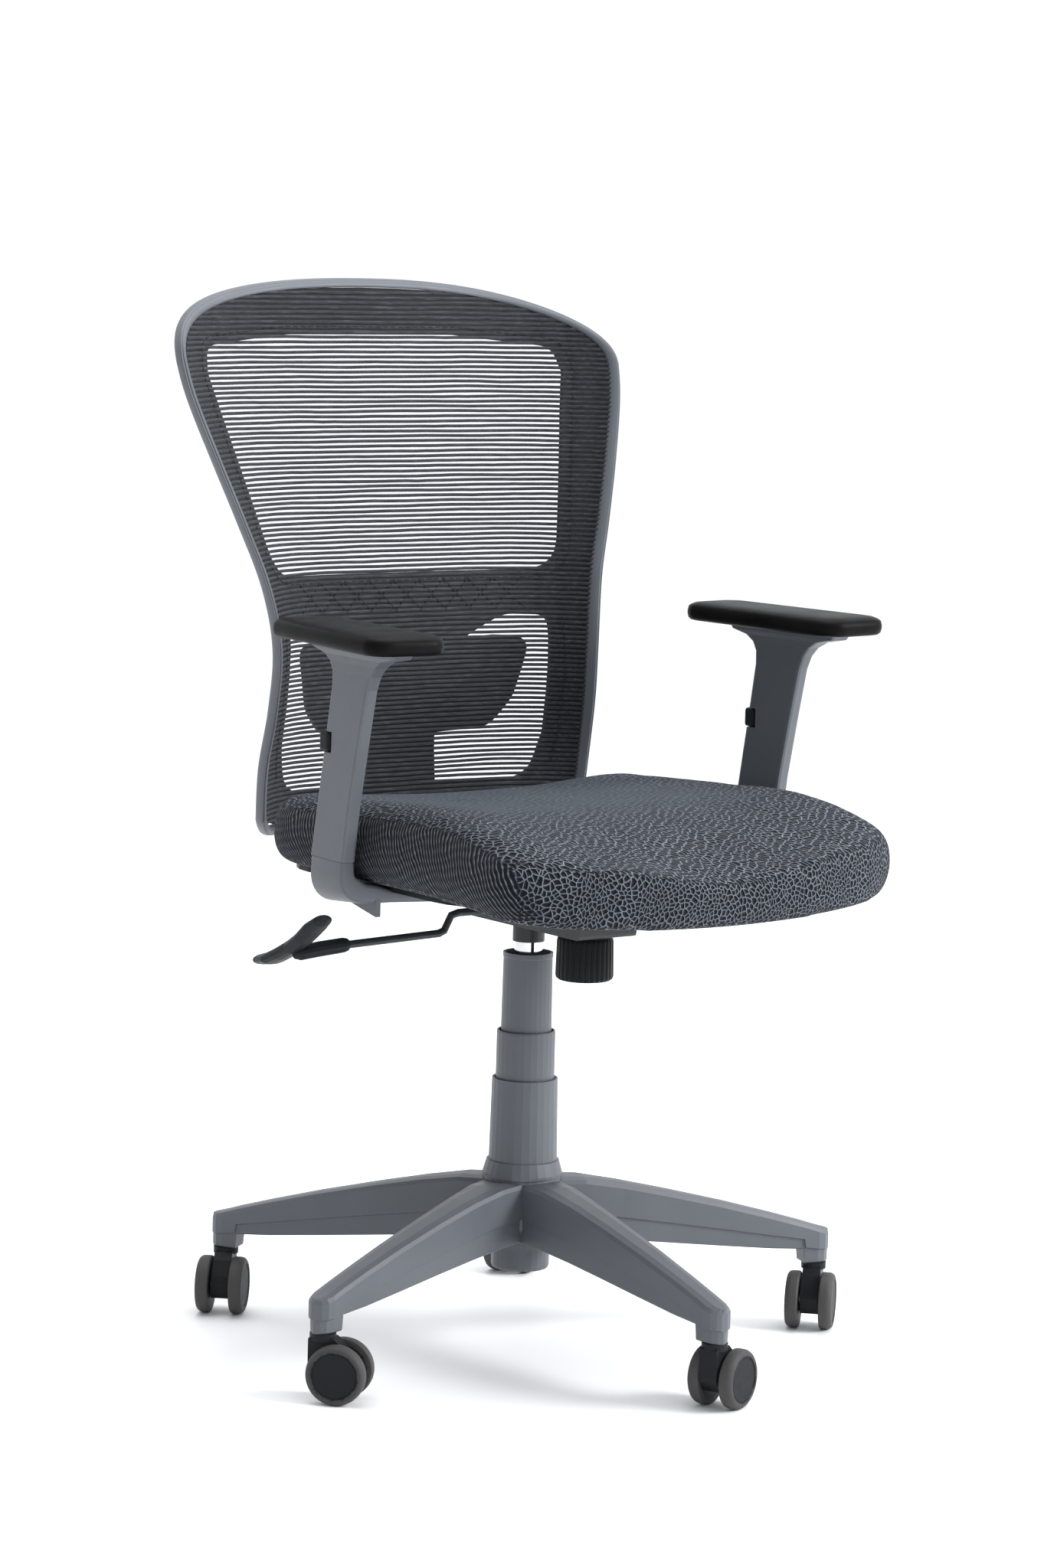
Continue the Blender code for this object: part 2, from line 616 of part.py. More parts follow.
def seat_section(y):
    """A slice of the cushion across the chair: dished, highest ahead of the arms, and falling away at the front."""
    edge = min((y - SEAT_FRONT) / 0.0165, (SEAT_REAR - y) / 0.0300)
    full = min(1.0, 0.25 + 0.75 * math.sqrt(1 - (1 - min(1.0, edge)) ** 2))
    share = max(0.0, (SEAT_FRONT + DROP_LENGTH - y) / DROP_LENGTH)
    drop = SEAT_DROP * share
    low = SEAT_BOTTOM - drop
    middle = low + 0.030 + 0.3 * drop
    high = middle + 0.0333 - drop + 0.0158 * math.exp(-((y + 0.165) / 0.1925) ** 2)
    width = seat_width(y)
    across = ((0, 0), (0.5, 0), (0.93, 0), (0.985, 0.22), (1, 0.5), (0.99, 0.75), (0.955, 0.92),
              (0.88, 1.0), (0.70, 0.97), (0.45, 0.90), (0, 0.87))
    half = []
    for u, v in across:
        height = low + (high - low) * v
        half.append((width * u, middle + (height - middle) * full + 0.008 * share * u ** 2))
    left = [(-x, z) for x, z in reversed(half[1:-1])]
    return [(x, y, z) for x, z in half + left]


# Back
def back_width(z):
    return smooth_value(BACK_WIDTHS, z)


def back_face(x, z):
    """The Y of the back's front face: its side edge, plus the wrap-around towards the middle."""
    share = abs(x) / back_width(z)
    return smooth_value(BACK_EDGES, z) + smooth_value(WRAPS, z) * (1 - share ** 4.5)


def back_outline(inset):
    """The outline of the back in X and Z, moved inwards by inset."""
    half = [(0.168 - inset, BACK_BOTTOM + inset), (0.182 - inset, BACK_BOTTOM + 0.004 + inset)]
    low = BACK_BOTTOM + 0.018
    rows = 13
    for k in range(rows):
        z = low + (BACK_SHOULDER - low) * k / rows
        half.append((back_width(z) - inset, max(z, BACK_BOTTOM + 0.010 + inset)))
    width = back_width(BACK_SHOULDER) - inset
    height = BACK_TOP - BACK_SHOULDER - inset
    bend = 2 / 2.3
    steps = 12
    for k in range(steps + 1):
        t = math.pi / 2 * k / steps
        half.append((width * math.cos(t) ** bend, BACK_SHOULDER + height * math.sin(t) ** bend))
    half[-1] = (0.0, half[-1][1])
    return half + [(-x, z) for x, z in reversed(half[:-1])]


def mirrored(loop):
    return [(-x, z) for x, z in reversed(loop)]


def upper_window():
    right = ((0.170, 0.7460, 0.040), (0.2160, 0.9450, 0.000), (0.2110, 0.9700, 0.030), (0.100, 0.9810, 0.100))
    loop = list(right) + [(-x, z, r) for x, z, r in reversed(right)]
    return fillet(loop, 5)


def lower_window():
    """One of the two openings that curve round the lumbar pad."""
    return fillet((
        (0.0420, 0.5320, 0.002), (0.1500, 0.5320, 0.040), (0.1600, 0.5800, 0.030), (0.1575, 0.7010, 0.012),
        (0.1130, 0.7020, 0.040), (0.0620, 0.6770, 0.003), (0.1030, 0.6810, 0.014), (0.1400, 0.6790, 0.020),
        (0.1250, 0.6150, 0.040), (0.1020, 0.5860, 0.030), (0.0380, 0.5830, 0.003),
    ), 4)


def back_slab(front, back, columns=18, rows=20):
    """A closed curved slab: its faces lie front and back behind the back's front face."""
    mesh = bpy.data.meshes.new("slab")
    bm = bmesh.new()
    bmesh.ops.create_grid(bm, x_segments=columns, y_segments=rows, size=0.5)
    low, high = BACK_BOTTOM - 0.012, BACK_TOP + 0.008
    for vert in bm.verts:
        z = low + (vert.co.y + 0.5) * (high - low)
        share = 1 - (1 - abs(vert.co.x * 2)) ** 1.5  # closer columns towards the sides
        x = math.copysign(1.05 * back_width(z) * share, vert.co.x)
        vert.co = (x, back_face(x, z) + front, z)
    bmesh.ops.triangulate(bm, faces=bm.faces[:])
    made = bmesh.ops.extrude_face_region(bm, geom=bm.faces[:], use_keep_orig=True)
    for item in made["geom"]:
        if isinstance(item, bmesh.types.BMVert):
            item.co.y = back_face(item.co.x, item.co.z) + back
    bmesh.ops.recalc_face_normals(bm, faces=bm.faces)
    bm.to_mesh(mesh)
    bm.free()
    return mesh


def make_back(parent):
    rim = prism([back_outline(0), back_outline(RIM)], 0.05, 0.45)
    slab = back_slab(-0.002, RIM_DEPTH)
    frame = boolean(slab, [rim], "INTERSECT")
    face = back_face(0, BACK_BOTTOM) + 0.0070
    notch = box((-0.0290, face, BACK_BOTTOM - 0.02), (0.0290, face + 0.05, BACK_BOTTOM + 0.03))
    add("back_outer_frame", boolean(frame, [notch]), GREY, parent)
    openings = [upper_window(), lower_window(), mirrored(lower_window())]
    inner = prism([back_outline(RIM + GAP)] + openings, 0.05, 0.45)
    slab = back_slab(0.0015, 0.0065)
    add("back_inner_frame", boolean(slab, [inner], "INTERSECT"), DARK, parent)
    net = prism([back_outline(RIM + GAP)], 0.05, 0.45)
    slab = back_slab(0, 0.0012)
    add("back_net", boolean(slab, [net], "INTERSECT"), NET, parent)
    make_spine(parent)


def make_spine(parent):
    """The bar that carries the back, from under the seat plate up behind the lumbar stem."""
    behind = 0.0065 + GAP
    half = 0.006
    path = [(0.070, 0.4665, 0.0035), (0.160, 0.4665, 0.0035), (0.2050, 0.4680, 0.0045), (0.2430, 0.4765, half),
            (0.2592, 0.4890, half)]
    for z in (0.505, 0.530, 0.560, 0.590, 0.620, 0.650):
        path.append((back_face(0, z) + behind + half + 0.0012, z, half))
    rings = []
    last = len(path) - 1
    for i, (y, z, thick) in enumerate(path):
        a, b = path[max(i - 1, 0)], path[min(i + 1, last)]
        across = Vector((-(b[1] - a[1]), b[0] - a[0])).normalized()
        points = rounded_rect(0.028, thick, 0.002, 2)
        rings.append([(u, y + across.x * v, z + across.y * v) for u, v in points])
    add("back_spine", loft(rings), STEEL, parent)


# Arms
def arm_rear(z):
    return ARM_REAR_Y + ARM_LEAN * (z - 0.6)


def toed(sign, z, across, along):
    """A point of the arm at height z, from its distances to the middle of the upright, turned outwards."""
    turn = math.radians(ARM_TOE) * sign
    x = sign * ARM_X + across * math.cos(turn) - along * math.sin(turn)
    y = arm_rear(z) - ARM_HALF + across * math.sin(turn) + along * math.cos(turn)
    return (x, y, z)


def arm_bracket(sign):
    """The L-shaped foot: down from the joint line, round under the seat, and in to the mechanism."""
    bend, low = 0.024, 0.4680
    path = [(ARM_X, JOINT_Z - GAP), (ARM_X, low + bend)]
    for k in range(1, 6):
        t = math.radians(90 * k / 5)
        path.append((ARM_X - bend + bend * math.cos(t), low + bend - bend * math.sin(t)))
    path += [(0.160, low), (0.0765, low)]
    thick = [0.0072] * 4 + [0.0070, 0.0065, 0.0060, 0.0055, 0.0050]
    middle = arm_rear(JOINT_Z) - ARM_HALF
    sections = [(middle, ARM_HALF, half, min(0.004, half * 0.6)) for half in thick]
    body = sweep([(sign * x, z) for x, z in path], sections)
    for vert in body.vertices:
        share = max(0.0, min(1.0, (abs(vert.co.x) - 0.16) / (ARM_X - 0.16)))
        vert.co.x -= sign * share * (vert.co.y - middle) * math.tan(math.radians(ARM_TOE))
    corner = arm_rear(JOINT_Z) - 0.004
    web = prism([[(sign * x, z) for x, z in ((0.2300, 0.4665), (0.1870, 0.4665), (0.1870, 0.4470))]],
                corner - 0.005, corner)
    body = boolean(welded(body), [web], "UNION")
    return boolean(body, [lean_box(sign, 0.0165 + GAP, 0.0042 + GAP, -0.114, 0.0)])


def lean_box(sign, half_y, half_x, low, high):
    """A box that leans forward with the arm, between two heights along the arm's line."""
    mesh = box((-half_x, -half_y, low), (half_x, half_y, high))
    middle = arm_rear(0.6) - POST_BACK
    turn = Matrix.Rotation(math.radians(ARM_TOE) * sign, 4, "Z")
    lean = Matrix.Rotation(math.atan(-ARM_LEAN), 4, "X")
    mesh.transform(Matrix.Translation((sign * ARM_X, middle, 0.6)) @ lean @ turn)
    return mesh


def arm_upright(sign):
    """The sleeve: a leaning upright that flares into the head under the pad."""
    stations = ((JOINT_Z, 0.0600, 0.0072, 0.0), (0.560, 0.0588, 0.0070, 0.0), (0.620, 0.0612, 0.0068, 0.0),
                (0.670, 0.0645, 0.0066, 0.0005), (0.6830, 0.0700, 0.0070, 0.0025), (0.6920, 0.0820, 0.0078, 0.008),
                (0.6985, 0.1030, 0.0090, 0.018), (0.7030, 0.1450, 0.0110, 0.037), (HEAD_TOP, 0.1520, 0.0120, 0.0405))
    rings = []
    for z, width, half_t, rear in stations:
        points = rounded_rect(width / 2, half_t, 0.0030, 2)
        rings.append([toed(sign, z, v, ARM_HALF + rear - width / 2 + u) for u, v in points])
    cavity = lean_box(sign, 0.0165 + GAP, 0.0042 + GAP, -0.105, 0.085)
    tall = BUTTON_HALF + GAP
    y = arm_rear(BUTTON_Z)
    notch = box((sign * ARM_X - ARM_T, y - 0.0095 - BUTTON_TRAVEL - GAP, BUTTON_Z - tall),
                (sign * ARM_X + ARM_T, y + ARM_T, BUTTON_Z + tall))
    return boolean(welded(loft(rings)), [cavity, notch])


def arm_pad(sign):
    """The pad: rounded plan, crowned top, narrower at the rear, toed out at the front."""
    half_l, half_w = PAD_LENGTH / 2, PAD_WIDTH / 2
    low = HEAD_TOP + GAP
    layers = ((0.006, 0), (0.0015, 0.003), (0.0, 0.0075), (0.0005, 0.0125), (0.0030, 0.0160),
              (0.0080, 0.0183), (0.0180, 0.0193))
    rings = []
    for inset, height in layers:
        z = low + height
        points = rounded_rect(half_w - inset, half_l - inset, 0.020, 4)
        ring_points = []
        for u, v in points:
            narrow = 1 - 0.16 * max(0.0, v / half_l) ** 2
            ring_points.append((u * narrow, v, z))
        rings.append(ring_points)
    mesh = loft(rings)
    turn = math.radians(PAD_TOE) * sign
    mesh.transform(Matrix.Translation((sign * ARM_X, PAD_Y, 0)) @ Matrix.Rotation(turn, 4, "Z"))
    return mesh


def make_arm(side, sign, parent):
    add(f"arm_{side}_bracket", arm_bracket(sign), GREY, parent)
    add(f"arm_{side}_post", lean_box(sign, 0.0165, 0.0042, -0.114 + GAP, 0.040), DARK, parent)
    slide = empty(f"arm_{side}_slide", (sign * ARM_X, arm_rear(0.6) - POST_BACK, 0.6), parent)
    add(f"arm_{side}_upright", arm_upright(sign), GREY, slide)
    add(f"arm_{side}_pad", arm_pad(sign), PAD, slide)
    y = arm_rear(BUTTON_Z)
    button = box((sign * ARM_X - 0.0078, y - 0.0095, BUTTON_Z - BUTTON_HALF),
                 (sign * ARM_X + 0.0078, y + 0.0055, BUTTON_Z + BUTTON_HALF), 0.0030)
    add(f"arm_{side}_button", button, DARK, slide)


def make_chair():
    make_base()
    for index, name in enumerate(ARM_NAMES):
        make_castor(index, name)
    make_lift()
    make_covers()
    make_mechanism()
    make_tension()
    make_lever()
    tilt = empty("tilt_axis", (0, TILT_Y, TILT_Z), ROOT)
    make_seat_plate(tilt)
    make_tilt_axle(tilt)
    make_seat(tilt)
    make_back(tilt)
    make_arm("left", 1, tilt)
    make_arm("right", -1, tilt)


make_chair()
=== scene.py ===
"""Looks for the swivel office chair: detailed shells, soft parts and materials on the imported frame."""

import json
import math

import bmesh
import bpy
from mathutils import Matrix, Vector, noise


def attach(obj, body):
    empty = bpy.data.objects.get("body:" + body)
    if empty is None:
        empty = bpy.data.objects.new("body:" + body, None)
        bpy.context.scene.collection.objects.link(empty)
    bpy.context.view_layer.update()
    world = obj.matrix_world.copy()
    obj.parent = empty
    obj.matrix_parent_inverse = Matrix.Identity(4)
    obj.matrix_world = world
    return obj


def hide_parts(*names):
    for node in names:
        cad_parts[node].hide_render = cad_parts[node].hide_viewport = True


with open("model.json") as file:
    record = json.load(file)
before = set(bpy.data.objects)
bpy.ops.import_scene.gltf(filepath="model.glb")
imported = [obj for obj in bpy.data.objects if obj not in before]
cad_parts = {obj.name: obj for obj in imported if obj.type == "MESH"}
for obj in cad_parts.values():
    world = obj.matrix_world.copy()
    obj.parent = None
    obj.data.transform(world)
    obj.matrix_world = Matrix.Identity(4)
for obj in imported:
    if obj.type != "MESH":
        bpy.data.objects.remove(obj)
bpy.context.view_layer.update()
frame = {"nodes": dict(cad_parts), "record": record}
NODES = frame["nodes"]

# The column frame: its origin from the row frame's, as the CAD model has it
COLUMN = Vector((0.0003, 0.0012, -0.0073))
GAP = 0.0003

# Back, in the column frame
BACK_BOTTOM = 0.492
BACK_SHOULDER = 0.955
BACK_TOP = 1.037
RIM = 0.009
NET_PITCH = 0.0049
NET_RADIUS = 0.0016
NET_FLATNESS = 0.36
STITCH_STEP = 0.0013
STITCH_RADIUS = 0.00045
STITCH_LENGTH = 5
STITCH_EVERY = 7
BACK_WIDTHS = ((0.49, 0.195), (0.56, 0.198), (0.62, 0.1952), (0.68, 0.1939), (0.74, 0.2024),
               (0.80, 0.2214), (0.86, 0.2411), (0.92, 0.2587), (0.955, 0.2640), (1.05, 0.268))
BACK_EDGES = ((0.49, 0.178), (0.56, 0.1704), (0.62, 0.1583), (0.68, 0.1539), (0.74, 0.1629),
              (0.83, 0.1867), (0.95, 0.2253), (1.05, 0.259))
WRAPS = ((0.48, 0.046), (0.54, 0.051), (0.62, 0.059), (0.70, 0.061), (1.06, 0.061))

# Seat, in the column frame
SEAT_HALF = 0.239
SEAT_FRONT = -0.331
SEAT_REAR = 0.152
SEAT_CORNER = 0.070
SEAT_BOW = 0.076
SEAT_DROP = 0.0217
DROP_LENGTH = 0.147
DROP_SOFTNESS = 0.10
SEAT_BOTTOM = 0.4803
SEAT_MIDDLE = 0.030
SEAT_UPPER = 0.0333
SEAT_CROWN = 0.0158
CROWN_Y = -0.165
CROWN_LENGTH = 0.1925
FRONT_ROUND = 0.0165
REAR_ROUND = 0.030
COVER_INSET = 0.0018
COVER_VOXEL = 0.005
COVER_PRESSURE = 4.0
COVER_CAP = 0.0022
COVER_FRAMES = 20
COVER_SMOOTHING = 26

# Arms, in the column frame
ARM_X = 0.2535
ARM_HALF = 0.030
ARM_LEAN = -0.178
ARM_REAR_Y = -0.0197
ARM_REAR_Z = 0.6
ARM_TOE = 3.5
JOINT_Z = 0.506
FOOT_BEND = 0.022
FOOT_BEND_Z = 0.4925
FOOT_BEND_STEPS = 8
FOOT_THICKNESS = 0.0076
FOOT_SWELL = 0.0026
FOOT_EDGE = 0.0042
FOOT_INNER_X = 0.16
FOOT_RISE = 0.10
WEB_X = (0.2185, 0.224)
WEB_TOP = 0.4690
WEB_EDGE = ((0.022, 0.4630), (-0.010, 0.4565), (-0.030, 0.4525))
HEAD_TOP = 0.7085
PAD_Y = -0.062
PAD_LENGTH = 0.2214
PAD_WIDTH = 0.082
PAD_TOE = 5.25

# Base and castors, in the column frame
STEM_CIRCLE = 0.310
AXLE_R = 0.004
WHEEL_R = 0.0285
WHEEL_W = 0.013
WHEEL_INNER = 0.0105
WHEEL_Z = 0.0073 + WHEEL_R
CASTOR_TRAIL = 0.017
KNOB_Y = -0.092
CASTORS = (("front", 22.8), ("front_left", -136.0), ("rear_left", -150.0), ("rear_right", -133.2),
           ("front_right", -48.2))

# Colours, linear
GREY_RGB = (0.092, 0.101, 0.116)
BLACK_RGB = (0.0125, 0.0135, 0.0155)
FLOOR_RGB = (0.93, 0.93, 0.94)
SKY_RGB = (0.97, 0.985, 1.0)

# Studio: the sky is brightest along SKY_TOWARDS and pale at the horizon
SKY_TOWARDS = (0.80, 0.30, 0.52)
SKY_DARK = 0.12
SKY_BRIGHT = 1.28
HORIZON = 1.1
FLOOR_HALF = 60

# Camera, in the column frame
CAMERA_AROUND = math.radians(-36.21)
CAMERA_DISTANCE = 4.5
CAMERA_HEIGHT = 1.1324
CAMERA_PITCH = math.radians(7.269)
CAMERA_ROLL = math.radians(1.521)
CAMERA_YAW = math.radians(0.133)
CAMERA_LENS = 107.33


# Node materials
def new_material(name):
    made = bpy.data.materials.new(name)
    made.use_nodes = True
    tree = made.node_tree
    shader = tree.nodes["Principled BSDF"]
    return made, tree, shader


def node(tree, kind, **settings):
    made = tree.nodes.new(kind)
    for key, value in settings.items():
        setattr(made, key, value)
    return made


def noise_node(tree, coords, scale, detail=3.0, roughness=0.55, stretch=None):
    made = node(tree, "ShaderNodeTexNoise")
    made.inputs["Scale"].default_value = scale
    made.inputs["Detail"].default_value = detail
    made.inputs["Roughness"].default_value = roughness
    if stretch:
        mapping = node(tree, "ShaderNodeMapping")
        mapping.inputs["Scale"].default_value = stretch
        tree.links.new(coords, mapping.inputs["Vector"])
        coords = mapping.outputs["Vector"]
    tree.links.new(coords, made.inputs["Vector"])
    return made.outputs["Fac"]


def ramp(tree, value, stops):
    """A colour ramp through (place, (r, g, b)) stops."""
    made = node(tree, "ShaderNodeValToRGB")
    elements = made.color_ramp.elements
    for i, (place, colour) in enumerate(stops):
        stop = elements[i] if i < 2 else elements.new(place)
        stop.position = place
        stop.color = (*colour, 1.0)
    tree.links.new(value, made.inputs["Fac"])
    return made.outputs["Color"]


def spread(tree, value, low, high):
    made = node(tree, "ShaderNodeMapRange")
    made.inputs["To Min"].default_value = low
    made.inputs["To Max"].default_value = high
    tree.links.new(value, made.inputs["Value"])
    return made.outputs["Result"]


def bump(tree, height, distance, strength=1.0, before=None):
    made = node(tree, "ShaderNodeBump")
    made.inputs["Distance"].default_value = distance
    made.inputs["Strength"].default_value = strength
    tree.links.new(height, made.inputs["Height"])
    if before:
        tree.links.new(before, made.inputs["Normal"])
    return made.outputs["Normal"]


def smooth_share(tree, value, low, high):
    """0 at low and 1 at high, with a smooth step between them."""
    made = node(tree, "ShaderNodeMapRange", interpolation_type="SMOOTHSTEP")
    made.inputs["From Min"].default_value = low
    made.inputs["From Max"].default_value = high
    tree.links.new(value, made.inputs["Value"])
    return made.outputs["Result"]


def maths(tree, operation, first, second=None, third=None):
    """One math node on links or numbers."""
    made = node(tree, "ShaderNodeMath", operation=operation)
    for slot, value in zip(made.inputs, (first, second, third)):
        if isinstance(value, (int, float)):
            slot.default_value = value
        elif value is not None:
            tree.links.new(value, slot)
    return made.outputs["Value"]


def dotted(tree, coords, vector):
    made = node(tree, "ShaderNodeVectorMath", operation="DOT_PRODUCT")
    made.inputs[1].default_value = vector
    tree.links.new(coords, made.inputs[0])
    return made.outputs["Value"]


def parts_of(tree, vector):
    """The X, Y and Z of a vector."""
    made = node(tree, "ShaderNodeSeparateXYZ")
    tree.links.new(vector, made.inputs[0])
    return made.outputs


def tint(colour, factor):
    return tuple(min(1.0, c * factor) for c in colour)


def moulded(name, colour, roughness, grain=0.5, vary=0.10, specular=0.3, coat=0.0):
    """Moulded plastic: cloudy colour, spark-eroded grain and a slightly uneven sheen."""
    made, tree, shader = new_material(name)
    coords = node(tree, "ShaderNodeTexCoord").outputs["Object"]
    cloud = noise_node(tree, coords, 14, 4)
    colour_link = ramp(tree, cloud, ((0.3, tint(colour, 1 - vary)), (0.7, tint(colour, 1 + vary))))
    tree.links.new(colour_link, shader.inputs["Base Color"])
    smear = noise_node(tree, coords, 55, 4)
    tree.links.new(spread(tree, smear, roughness - 0.07, roughness + 0.07), shader.inputs["Roughness"])
    fine = noise_node(tree, coords, 1500, 2)
    soft = noise_node(tree, coords, 320, 3)
    first = bump(tree, soft, 0.00012, grain * 0.5)
    tree.links.new(bump(tree, fine, 0.00008, grain, first), shader.inputs["Normal"])
    shader.inputs["Specular IOR Level"].default_value = specular
    shader.inputs["Coat Weight"].default_value = coat
    shader.inputs["Coat Roughness"].default_value = 0.25
    return made


def metal(name, colour, roughness, metallic=1.0, brush=(1, 1, 1), grain=0.3):
    """Metal with fine directional scratches and patches of duller finish."""
    made, tree, shader = new_material(name)
    shader.inputs["Metallic"].default_value = metallic
    coords = node(tree, "ShaderNodeTexCoord").outputs["Object"]
    patch = noise_node(tree, coords, 30, 4)
    colour_link = ramp(tree, patch, ((0.3, tint(colour, 0.9)), (0.7, tint(colour, 1.08))))
    tree.links.new(colour_link, shader.inputs["Base Color"])
    scratch = noise_node(tree, coords, 220, 4, 0.6, brush)
    tree.links.new(spread(tree, scratch, roughness * 0.75, roughness * 1.3), shader.inputs["Roughness"])
    tree.links.new(bump(tree, scratch, 0.00006, grain), shader.inputs["Normal"])
    return made


def wheel_plastic():
    """Wheel nylon: dark on its faces, lighter round the tread and the rounded rim of the face."""
    made, tree, shader = new_material("castor_wheel")
    coords = node(tree, "ShaderNodeTexCoord").outputs["Object"]
    flat = node(tree, "ShaderNodeVectorMath", operation="MULTIPLY")
    flat.inputs[1].default_value = (1, 1, 0)
    tree.links.new(coords, flat.inputs[0])
    radius = node(tree, "ShaderNodeVectorMath", operation="LENGTH")
    tree.links.new(flat.outputs["Vector"], radius.inputs[0])
    mottle = noise_node(tree, coords, 210, 5, 0.65)
    scaled = node(tree, "ShaderNodeMapRange")
    scaled.inputs["From Min"].default_value = 0.0220
    scaled.inputs["From Max"].default_value = 0.0345
    ragged_radius = maths(tree, "MULTIPLY_ADD", mottle, 0.006, radius.outputs["Value"])
    tree.links.new(ragged_radius, scaled.inputs["Value"])
    # Colour by distance from the axle, made ragged by noise: dark on the flat faces, lighter from the rounded
    # rim out over the tread.
    colours = ramp(tree, scaled.outputs["Result"], (
        (0.0, (0.011, 0.012, 0.014)), (0.22, (0.013, 0.014, 0.016)), (0.34, (0.048, 0.047, 0.049)),
        (0.75, (0.064, 0.062, 0.062)),
    ))
    tree.links.new(colours, shader.inputs["Base Color"])
    tree.links.new(spread(tree, mottle, 0.42, 0.66), shader.inputs["Roughness"])
    shader.inputs["Specular IOR Level"].default_value = 0.15
    fine = noise_node(tree, coords, 900, 3)
    tree.links.new(bump(tree, fine, 0.0001, 0.35), shader.inputs["Normal"])
    return made


def cells(tree, coords, across, along, randomness):
    """Distance from the edges of a flat field of cells, laid out by the two vectors that count its rows."""
    place = node(tree, "ShaderNodeCombineXYZ")
    tree.links.new(dotted(tree, coords, across), place.inputs["X"])
    tree.links.new(dotted(tree, coords, along), place.inputs["Y"])
    field = node(tree, "ShaderNodeTexVoronoi", voronoi_dimensions="2D", feature="DISTANCE_TO_EDGE")
    field.inputs["Scale"].default_value = 1.0
    field.inputs["Randomness"].default_value = randomness
    tree.links.new(place.outputs["Vector"], field.inputs["Vector"])
    return field.outputs["Distance"]


def weave(tree, coords):
    """Knit cells on every side: small loops in front, leaning ribs at the sides, diagonal rows on top."""
    front = cells(tree, coords, (205, 0, 80), (-100, 0, 190), 0.85)
    side = ribs(tree, coords, (0, 215, -120), (0, 30, 120))
    top = cells(tree, coords, (175, 150, 60), (-85, 100, 0), 0.80)
    upright = maths(tree, "SUBTRACT", 1.0, facing_share(tree, "X", 0.52, 0.74))
    first = maths(tree, "MULTIPLY_ADD", maths(tree, "SUBTRACT", front, side), upright, side)
    level = facing_share(tree, "Z", 0.60, 0.82)
    return maths(tree, "MULTIPLY_ADD", maths(tree, "SUBTRACT", top, first), level, first)


def ribs(tree, coords, across, along):
    """Distance from the crests of beaded ribs, laid out like cells."""
    crest = maths(tree, "PINGPONG", dotted(tree, coords, across), 0.5)
    place = maths(tree, "ADD", dotted(tree, coords, along), crest)
    beads = maths(tree, "SINE", maths(tree, "MULTIPLY", place, math.tau))
    return maths(tree, "MULTIPLY_ADD", beads, 0.025, maths(tree, "MULTIPLY", crest, 0.80))


def facing_share(tree, axis, low, high):
    """0 to 1 as the surface turns to face along one axis of the body."""
    normal = node(tree, "ShaderNodeTexCoord").outputs["Normal"]
    return smooth_share(tree, maths(tree, "ABSOLUTE", parts_of(tree, normal)[axis]), low, high)


def knit_fabric():
    """A coarse spacer knit of pale threads round dark cells, drawn into ribs on the sides and quieter on the
    flat, with painted highlight on the thread crests and painted shade in the cells.
    """
    made, tree, shader = new_material("seat_knit")
    coords = node(tree, "ShaderNodeTexCoord").outputs["Object"]
    wander = node(tree, "ShaderNodeTexNoise")
    wander.inputs["Scale"].default_value = 26
    wander.inputs["Detail"].default_value = 2
    tree.links.new(coords, wander.inputs["Vector"])
    shift = node(tree, "ShaderNodeVectorMath", operation="MULTIPLY_ADD")
    shift.inputs[1].default_value = (0.016, 0.016, 0.016)
    tree.links.new(wander.outputs["Color"], shift.inputs[0])
    tree.links.new(coords, shift.inputs[2])
    distance = weave(tree, shift.outputs["Vector"])
    fibre = noise_node(tree, coords, 900, 3, 0.7)
    mixed = maths(tree, "MULTIPLY_ADD", fibre, 0.16, distance)
    # Painted highlight on the raised thread crests and painted shade darkening the cells to near black, over
    # pale threads and dark cells.
    crest_highlight_cell_shade = ramp(tree, mixed, (
        (0.08, (0.245, 0.276, 0.325)), (0.13, (0.112, 0.130, 0.160)), (0.20, (0.022, 0.027, 0.036)),
        (0.30, (0.003, 0.004, 0.006)),
    ))
    # The same painted highlight and shade, milder, for the flat top of the seat.
    mild_highlight_cell_shade = ramp(tree, mixed, (
        (0.10, (0.056, 0.070, 0.089)), (0.24, (0.037, 0.046, 0.060)), (0.42, (0.019, 0.024, 0.032)),
    ))
    blend = node(tree, "ShaderNodeMix", data_type="RGBA")
    # The flat top gets the milder painted highlight and shade and a shallower relief.
    calmness = flatness(tree, coords)
    tree.links.new(calmness, blend.inputs["Factor"])
    tree.links.new(crest_highlight_cell_shade, blend.inputs[6])
    tree.links.new(mild_highlight_cell_shade, blend.inputs[7])
    patch = noise_node(tree, coords, 16, 3)
    toned = node(tree, "ShaderNodeMix", data_type="RGBA", blend_type="MULTIPLY")
    toned.inputs["Factor"].default_value = 1.0
    tree.links.new(blend.outputs[2], toned.inputs[6])
    tree.links.new(ramp(tree, patch, ((0.3, (0.80, 0.80, 0.81)), (0.7, (1, 1, 1)))), toned.inputs[7])
    tree.links.new(toned.outputs[2], shader.inputs["Base Color"])
    rough_bump = bump(tree, fibre, 0.0002, 0.4)
    raised = maths(tree, "MULTIPLY_ADD", mixed, -2.6, 1.2)
    deep = maths(tree, "MULTIPLY", raised, spread(tree, calmness, 1.0, 0.25))
    tree.links.new(bump(tree, deep, 0.0026, 0.9, rough_bump), shader.inputs["Normal"])
    shader.inputs["Roughness"].default_value = 0.92
    shader.inputs["Specular IOR Level"].default_value = 0.15
    shader.inputs["Sheen Weight"].default_value = 0.05
    shader.inputs["Sheen Roughness"].default_value = 0.5
    return made


def flatness(tree, coords):
    """1 on the upper middle of the seat, falling to 0 towards its edges."""
    x, y, z = parts_of(tree, coords)
    side = smooth_share(tree, maths(tree, "ABSOLUTE", x), 0.20, 0.12)
    front = smooth_share(tree, y, -0.22, -0.06)
    level = smooth_share(tree, z, 0.505, 0.525)
    return maths(tree, "MULTIPLY", maths(tree, "MULTIPLY", side, front), level)


